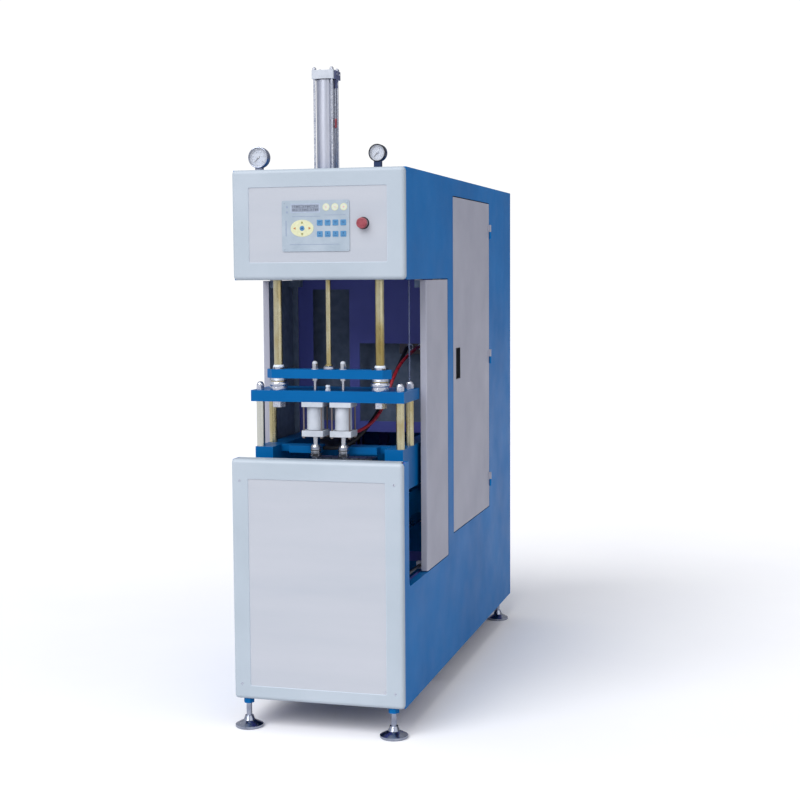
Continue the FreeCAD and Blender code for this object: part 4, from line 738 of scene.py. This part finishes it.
def press_detail():
    # air fitting in the middle of the sealing plate
    at = (PRESS.x, PRESS.y - 14 * MM, PLATE_HIGH.z)
    bm = bmesh.new()
    hex_nut(bm, 17, 8, at, UP)
    turned(bm, [(6.4, 7), (6.4, 12), (8.6, 13), (8.6, 18), (6.6, 21), (0, 21.5)], at, UP, 28)
    finished("plate_air_fitting", bm, "cylinder_white")

    # felt wipers in the bushes, and circlips round their lower ends
    bush_low, bush_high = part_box("guide_bushes")
    guides = [side * GUIDE_X for side in SIDES]
    turned_piece("rod_wipers", [(16.15, 0), (20, 0), (19, 4), (17, 7), (16.15, 7), (16.15, 0)],
                 [(x, PRESS.y, bush_high.z) for x in guides], UP, 40, "cylinder_white", "press_head",
                 PALE_NYLON)
    bm = bmesh.new()
    for x in guides:
        for up in (1.5, 5.5):
            hoop(bm, 30.2, 0.8, (x, PRESS.y, bush_low.z + up * MM), UP, 48, 8)
    finished("bush_rings", bm, "zinc_plate", "press_head")

    # turned sleeves round the guide rod collars, where the crosshead lands
    turned_piece("landing_sleeves",
                 [(29.1, 0), (31, 0), (31.6, 1), (31.6, 10), (30.2, 11.5), (30.2, 14.5), (32.4, 16.5),
                  (34, 19.5), (34, 26.5), (32.4, 29.5), (30.6, 31), (29.1, 31), (29.1, 0)],
                 [(x, PRESS.y, PLATE_HIGH.z) for x in guides], UP, 48, "zinc_plate")

    # split collar that locks the piston rod on the crosshead
    turned_piece("piston_rod_lock_ring",
                 [(13.1, 0), (19, 0), (20, 1), (20, 9), (18.5, 11), (15.5, 13), (13.1, 13), (13.1, 0)],
                 [(PRESS.x, PRESS.y, CROSS_HIGH.z)], UP, 40, "zinc_plate", "press_head")

    # cap screws that hold each bush flange, from above, and the stretch rods' dome washers
    screws = [(x + sx * BUSH_SCREWS, PRESS.y + sy * BUSH_SCREWS, CROSS_HIGH.z)
              for x in guides for sx in SIDES for sy in SIDES]
    turned_piece("crosshead_screws", [(4.5, 0), (4.5, 4), (4, 4.6), (2.4, 4.6), (2.4, 2.5), (0, 2.5)], screws,
                 UP, 18, "black_plastic", "press_head")
    bm = bmesh.new()
    for side in SIDES:
        at = Vector((side * CAVITY_X, PRESS.y, CROSS_HIGH.z))
        turned(bm, [(9.5, 20), (9.5, 22), (8.2, 26), (5.1, 28.4), (5.05, 20), (9.5, 20)], at, UP, 32)
        turned(bm, [(13, 0), (13, 1.2), (11.6, 1.6)], at, UP, 32)
    finished("stretch_rod_domes", bm, "cylinder_white", "press_head")


def sealing_cylinder_detail():
    """Seal lines, side ports and hose barbs of the two sealing cylinders."""
    caps_low, caps_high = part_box("seal_caps")
    barrel_low, barrel_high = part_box("seal_barrels")
    lines, ports = bmesh.new(), bmesh.new()
    for x in (-CAVITY_X, CAVITY_X):
        for z, way in ((barrel_low.z, UP), (barrel_high.z, DOWN)):
            turned(lines, [(30, 0), (31.4, 0), (31.4, 1.4), (30, 1.4), (30, 0)], (x, PRESS.y, z), way, 56)
        port = (x, caps_high.y, (caps_low.z + barrel_low.z) / 2)
        hex_nut(ports, 15, 7, port, TO_REAR)
        turned(ports, [(5, 6), (5, 10), (6.5, 11), (6.5, 18), (4, 20), (0, 20)], port, TO_REAR, 24)
    finished("sealing_cylinder_lines", lines, "hose_black")
    finished("sealing_cylinder_ports", ports, "zinc_plate")


def nozzle_detail():
    """Rings and a band on each blow nozzle, and the wiper that its rod runs through."""
    under_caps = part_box("seal_caps")[0].z
    for side, name in NAMED_SIDES:
        body = f"nozzle_{name}_unit"
        at = Vector((side * CAVITY_X, PRESS.y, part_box(f"nozzle_{name}")[0].z))
        bm = bmesh.new()
        for z in (7, 13, 27):
            hoop(bm, 19.2, 1.5, at + UP * z * MM, UP, 48, 10)
        finished(f"nozzle_{name}_o_rings", bm, "hose_black", body)
        turned_piece(f"nozzle_{name}_band",
                     [(19.05, 32.6), (20.3, 33.2), (20.3, 38.4), (19.05, 39), (19.05, 32.6)], [at], UP, 48,
                     "chrome", body)
        turned_piece(f"nozzle_{name}_wiper",
                     [(9.1, 0), (14, 0), (14, 3), (11, 4.5), (9.1, 4.5), (9.1, 0)],
                     [(at.x, at.y, under_caps)], DOWN, 32, "cylinder_white", material=PALE_NYLON)


# --- air lines
HOSES = (("air_hose_red", 6, 0.205), ("air_hose_black", 7, 0.165))      # radius in mm, x at the manifold


def hose_fittings():
    """A ferrule where each hose leaves the manifold."""
    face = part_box("air_manifold")[0].y
    bm = bmesh.new()
    for node, radius, x in HOSES:
        snug, wide, neck = radius + 0.1, radius + 5, radius + 2.2
        turned(bm, [(snug, 0), (wide, 0), (wide, 8), (neck, 9), (neck, 24), (snug, 26), (snug, 0)],
               (x, face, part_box(node)[1].z - radius * MM), TO_OPERATOR, 28)
    finished("manifold_ferrules", bm, "zinc_plate")


# --- casing
DOOR_RIM = 24 * MM            # width of a guard door's rear flange
BELOW_TOP = 36 * MM           # from the door's top down to its shade sheet
LUG = (15.8 * MM, 23.8 * MM)  # half width and height of the shade sheet round each lug


def guard_shade_sheets():
    """Dark slate sheet inside each guard door, over its web, its rear flange and its lugs: painted shade on
    the door's inner face.
    """
    skin, web, flange = 0.5 * MM, 3.7 * MM, 1.9 * MM
    for side, name in NAMED_SIDES:
        low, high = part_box(f"guard_door_{name}")
        outer, inner = (high.x, low.x) if side > 0 else (low.x, high.x)
        bottom, top = low.z + 3 * MM, high.z - BELOW_TOP
        web_x = sorted((outer - side * skin, outer - side * web))
        flange_x = sorted((outer - side * skin, outer - side * DOOR_RIM + side * 0.4 * MM))
        lug_x = sorted((inner - side * 0.8 * MM, outer - side * web))
        bm = bmesh.new()
        block(bm, (web_x[0], low.y + 3 * MM, bottom), (web_x[1], high.y - 3 * MM, top), 0.4)
        block(bm, (flange_x[0], high.y - 2 * MM - flange, bottom), (flange_x[1], high.y - 1 * MM, top), 0.3)
        for y in (low.y + 30 * MM, high.y - 30 * MM):
            block(bm, (lug_x[0], y - LUG[0], top - LUG[1]), (lug_x[1], y + LUG[0], top + 2 * MM), 0.4)
        finished(f"guard_shade_sheet_{name}", bm, "hose_black", f"guard_{name}", SHADE_SHEET)


BACK_GAP = 84 * MM            # from the work space's back wall to the shade sheet
SHADE_SHEET_T = 2 * MM
PLATE_X = 1.5 * MM            # half the mounting plate's thickness
CONTACTORS = (45, 45, 45, 45, 60, 45, 45, 60, 45)      # widths in millimetres
CONTROLLER = (120, 60, 30, 30, 30, 22, 22, 22, 22, 22, 22)
TERMINALS = (8,) * 40
CABINET = (-0.15, 0.455, 1.02, 1.88)      # near and far y of the mounting plate, foot and top
RAIL_Z = (1.70, 1.50, 1.30)   # rails for gear, from the top
DUCT_Z = (1.79, 1.60, 1.40, 1.20)         # cable ducts round them
DUCT_TEETH = 40
RAIL_FACE = 9 * MM            # from the plate's middle to a rail's face
GEAR_GAP = 1.5                # millimetres between neighbours on a rail


def shade_sheet_behind_gaps():
    """Dark slate sheet between the work space and the cabinet, a hand's depth behind the back wall's two
    gaps: painted shade seen through the gaps.
    """
    wall_low, wall_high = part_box("chamber_back_wall")
    y = wall_high.y + BACK_GAP
    bm = bmesh.new()
    block(bm, (wall_low.x, y, wall_low.z), (wall_high.x, y + SHADE_SHEET_T, wall_high.z), 0.5)
    finished("shade_sheet_behind_gaps", bm, "hose_black", material=SHADE_SHEET)


def cabinet_frame():
    """Mounting plate down the middle of the cabinet: bars under the frame's roof rails carry it, and
    tabs tie it to the shade sheet."""
    near, far, bottom, top = CABINET
    wall_low, wall_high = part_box("chamber_back_wall")
    behind_shade_sheet = wall_high.y + BACK_GAP + SHADE_SHEET_T
    under_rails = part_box("frame_posts")[1].z - 40 * MM
    bm = bmesh.new()
    block(bm, (-PLATE_X, near, bottom), (PLATE_X, far, top), 0.5)
    finished("mounting_plate", bm, "zinc_plate", material=GALVANISED)
    bm = bmesh.new()
    tab = 5 * MM
    for y in (near + 20 * MM, far - 20 * MM):
        block(bm, (wall_low.x, y - 15 * MM, under_rails - 12 * MM),
              (wall_high.x, y + 15 * MM, under_rails), 1)
        block(bm, (PLATE_X, y - 12 * MM, top - 10 * MM), (tab, y + 12 * MM, under_rails - 6 * MM), 0.5)
    for z in (bottom + 60 * MM, wall_high.z - 60 * MM):
        block(bm, (PLATE_X, behind_shade_sheet, z - 15 * MM), (tab, near + 10 * MM, z + 15 * MM), 0.5)
    finished("cabinet_bars", bm, "blackened_steel")


def cabinet_seals():
    """Rubber strip round the inside of each cabinet opening, behind the edges of its door."""
    lap = 12 * MM
    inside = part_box("side_panel_right")[0].x
    for side, name in NAMED_SIDES:
        low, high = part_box(f"tall_door_{name}")
        near, far = low.y, high.y - 5 * MM
        x = sorted((side * (inside - 0.5 * MM), side * (inside - 6.5 * MM)))
        bm = bmesh.new()
        for y in (near, far):
            block(bm, (x[0], y - lap, low.z - lap), (x[1], y + lap, high.z + lap), 1)
        for z in (low.z, high.z):
            block(bm, (x[0], near + lap, z - lap), (x[1], far - lap, z + lap), 1)
        finished(f"cabinet_seal_{name}", bm, "hose_black")


def electrical_gear():
    """Ducts, rails, contactors, relays, a controller and terminals on the plate's right face."""
    near, far = CABINET[0] + 30 * MM, CABINET[1] - 30 * MM
    duct, rails, black, pale, clips = (bmesh.new() for _ in range(5))
    for z in DUCT_Z:
        block(duct, (PLATE_X, near, z - 18 * MM), (46 * MM, far, z + 18 * MM), 1.5)
        for i in range(DUCT_TEETH):
            y = near + (far - near) * (i + 0.5) / DUCT_TEETH
            block(duct, (20 * MM, y - 3 * MM, z - 20 * MM), (45 * MM, y + 3 * MM, z + 20 * MM), 0.4)
    for z in RAIL_Z:
        block(rails, (PLATE_X, near, z - 17 * MM), (RAIL_FACE, far, z + 17 * MM), 0.6)
    for row, (z, widths, half, reach) in enumerate(zip(RAIL_Z, (CONTACTORS, CONTROLLER, TERMINALS),
                                                       (36, 36, 26), (82, 70, 48))):
        y = near + 8 * MM
        for i, width in enumerate(widths):
            body = pale if (i + row) % 3 == 2 or row == 2 else black
            block(body, (RAIL_FACE, y, z - half * MM), (reach * MM, y + width * MM, z + half * MM), 1.5)
            for end in SIDES:
                pan_head(clips, (reach * MM, y + width / 2 * MM, z + end * (half - 7) * MM), TO_RIGHT, 2.6)
            y += (width + GEAR_GAP) * MM
    finished("cable_ducts", duct, "keypad_film", material=INK_LINE)
    finished("gear_rails", rails, "zinc_plate")
    finished("contactors", black, "black_plastic")
    finished("terminals", pale, "cylinder_white", material=PALE_NYLON)
    finished("gear_screws", clips, "zinc_plate")


VALVES = 9
ISLAND = 0.3                  # length of the valve island
VALVE_Z = 1.62                # its middle
FILTERS_Y = (0.08, 0.19)      # from the island's near end to each filter's axis
BOWL_Z = 1.36                 # foot of the filters' bowls
HEAD_Z = (1.442, 1.492)       # foot and top of their heads


def air_gear():
    """Valve island and two filters on the plate's left face."""
    near = CABINET[0] + 60 * MM
    valves, coils, bowls = (bmesh.new() for _ in range(3))
    z = VALVE_Z
    block(valves, (-42 * MM, near, z - 30 * MM), (-PLATE_X, near + ISLAND, z + 30 * MM), 2)
    for i in range(VALVES):
        y = near + ISLAND * (i + 0.5) / VALVES
        block(valves, (-78 * MM, y - 12 * MM, z - 48 * MM), (-42 * MM, y + 12 * MM, z + 48 * MM), 2)
        block(coils, (-74 * MM, y - 11 * MM, z + 48 * MM), (-46 * MM, y + 11 * MM, z + 84 * MM), 2.5)
    for y in FILTERS_Y:
        turned(bowls, [(20, 0), (27, 6), (28, 70), (30, 72), (30, 82), (0, 82)],
               (-48 * MM, near + y, BOWL_Z), UP, 36)
        block(valves, (-82 * MM, near + y - 32 * MM, HEAD_Z[0]), (-PLATE_X, near + y + 32 * MM, HEAD_Z[1]), 3)
    finished("valve_island", valves, "anodised")
    finished("valve_coils", coils, "black_plastic")
    finished("filter_bowls", bowls, "cylinder_white", material=PALE_NYLON)


def rear_louvres():
    """Two columns of pressed louvres high in the rear sheet, open downwards."""
    low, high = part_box("rear_panel")
    half, drop, stand, rows = 75 * MM, 14 * MM, 4.2 * MM, 9
    bm = bmesh.new()
    for share in (0.3, 0.7):
        x = low.x + share * (high.x - low.x)
        for row in range(rows):
            top = high.z - 0.16 - row * 30 * MM
            ridge, foot = top - 0.75 * drop, top - drop
            base = [bm.verts.new((px, high.y, pz)) for px, pz in
                    ((x - half, top), (x + half, top), (x + half, foot), (x - half, foot))]
            lip = [bm.verts.new((x + side * (half - stand), high.y + stand, ridge)) for side in SIDES]
            for corners in ([base[0], base[1], lip[1], lip[0]], [base[1], base[2], lip[1]],
                            [base[3], base[0], lip[0]], [base[2], base[3], lip[0], lip[1]], base):
                bm.faces.new(corners)
    finished("rear_louvres", bm, "casing_blue")


def panel_screws():
    """Pan head screws round the rear sheet and along the roof's edges."""
    inset, rows, columns = 16 * MM, 7, 3
    steps = [i / (rows - 1) for i in range(rows)]
    low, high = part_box("rear_panel")
    edges = (low.x + inset, high.x - inset)
    places = [(x, high.y, low.z + inset + (high.z - low.z - 2 * inset) * step)
              for step in steps for x in edges]
    places += [(low.x + (high.x - low.x) * i / columns, high.y, z)
               for i in range(1, columns) for z in (low.z + inset, high.z - inset)]
    bm = bmesh.new()
    for at in places:
        pan_head(bm, at, TO_REAR, 4)
    finished("rear_panel_screws", bm, "zinc_plate")
    low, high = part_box("roof_panel")
    bm = bmesh.new()
    for step in steps:
        y = low.y + 3 * inset + (high.y - low.y - 4 * inset) * step
        for x in (low.x + inset, high.x - inset):
            pan_head(bm, (x, y, high.z), UP, 4)
    finished("roof_screws", bm, "zinc_plate")


# --- make every piece
keypad_display()
keypad_keys()
keypad_pad()
keypad_lines()
stop_button_ring()
cover_screws()
window_beads()
gauge_detail("left", "chrome", 2)
gauge_detail("right", "black_plastic", 1)
gauge_stems()
stretch_cylinder_detail()
press_detail()
sealing_cylinder_detail()
nozzle_detail()
hose_fittings()
guard_shade_sheets()
shade_sheet_behind_gaps()
cabinet_frame()
cabinet_seals()
electrical_gear()
air_gear()
panel_screws()
rear_louvres()


# --- floor, light and camera
def floor():
    """White paper; it throws back a little less light than it shows, so that the sides keep their depth."""
    bm = bmesh.new()
    bmesh.ops.create_grid(bm, x_segments=1, y_segments=1, size=30)
    mesh = bpy.data.meshes.new("studio_floor")
    bm.to_mesh(mesh)
    bm.free()
    sheet = bpy.data.objects.new("studio_floor", mesh)
    bpy.context.scene.collection.objects.link(sheet)
    material, tree, shader, place = start("studio_paper_white", {"IOR": 1.4, "Specular IOR Level": 0.0})
    vary_colour(tree, shader, place, ("#fafafb", "#fdfdfd"), 900)
    vary_roughness(tree, shader, place, 0.8, 0.9, 400)
    soft = add(tree, "BsdfDiffuse", {"Color": linear("#dcdcdf")})
    path = add(tree, "LightPath", {})
    mix = add(tree, "MixShader", {}, [("Fac", path, "Is Camera Ray"), (1, soft, "BSDF"), (2, shader, "BSDF")])
    tree.links.new(mix.outputs["Shader"], tree.nodes["Material Output"].inputs["Surface"])
    mesh.materials.append(material)


PALE_WAY = (-0.75, -0.58, 0.32)      # the way to the palest part of the surround


def sky():
    """A plain surround, pale towards the operator's left and grey on the right and behind, so that
    round metal runs from light to dark; seen directly it is white."""
    world = bpy.data.worlds.new("studio_surround")
    world.use_nodes = True
    tree = world.node_tree
    tree.nodes.clear()
    place = add(tree, "TexCoord", {})
    towards = add(tree, "VectorMath", {"operation": "DOT_PRODUCT", 1: PALE_WAY}, [(0, place, "Generated")])
    strength = add(tree, "MapRange", {"From Min": -1.0, "From Max": 1.0, "To Min": 0.2, "To Max": 0.72},
                   [("Value", towards, "Value")])
    path = add(tree, "LightPath", {})
    lit = add(tree, "Background", {"Color": linear("#f4f6ff")}, [("Strength", strength, "Result")])
    seen = add(tree, "Background", {"Color": (1, 1, 1, 1), "Strength": 1.05})
    mix = add(tree, "MixShader", {}, [("Fac", path, "Is Camera Ray"), (1, lit, "Background"),
                                      (2, seen, "Background")])
    add(tree, "OutputWorld", {}, [("Surface", mix, "Shader")])
    bpy.context.scene.world = world


def sun(name, from_way, power, spread):
    """An even soft light from a direction, which lights the floor alike near and far."""
    light = bpy.data.lights.new(name, "SUN")
    light.energy = power
    light.angle = math.radians(spread)
    holder = bpy.data.objects.new(name, light)
    holder.rotation_euler = (-Vector(from_way)).to_track_quat("-Z", "Y").to_euler()
    bpy.context.scene.collection.objects.link(holder)


CAMERA_AT = (1.62413, -5.81116, 1.62583)
YAW, PITCH, ROLL = 15.19, 4.944, -0.3774      # degrees: round to the machine's right, down, and tilt
LENS = 66.463                                 # millimetres, behind a 36 mm wide sensor


def camera():
    """Long lens, a little above the middle of the machine and to its right."""
    data = bpy.data.cameras.new("camera")
    data.lens = LENS
    data.sensor_width = 36
    data.clip_end = 100
    holder = bpy.data.objects.new("camera", data)
    round_to, down, tilt = (Matrix.Rotation(math.radians(angle), 4, axis)
                            for angle, axis in ((YAW, "Z"), (90 - PITCH, "X"), (ROLL, "Z")))
    holder.matrix_world = Matrix.Translation(CAMERA_AT) @ round_to @ down @ tilt
    bpy.context.scene.collection.objects.link(holder)
    bpy.context.scene.camera = holder


floor()
sky()
sun("key", (-0.25, -0.7, 0.67), 2.45, 50)
sun("fill", (0.8, -0.4, 0.45), 0.7, 70)
camera()
bpy.context.scene.view_settings.view_transform = "Standard"
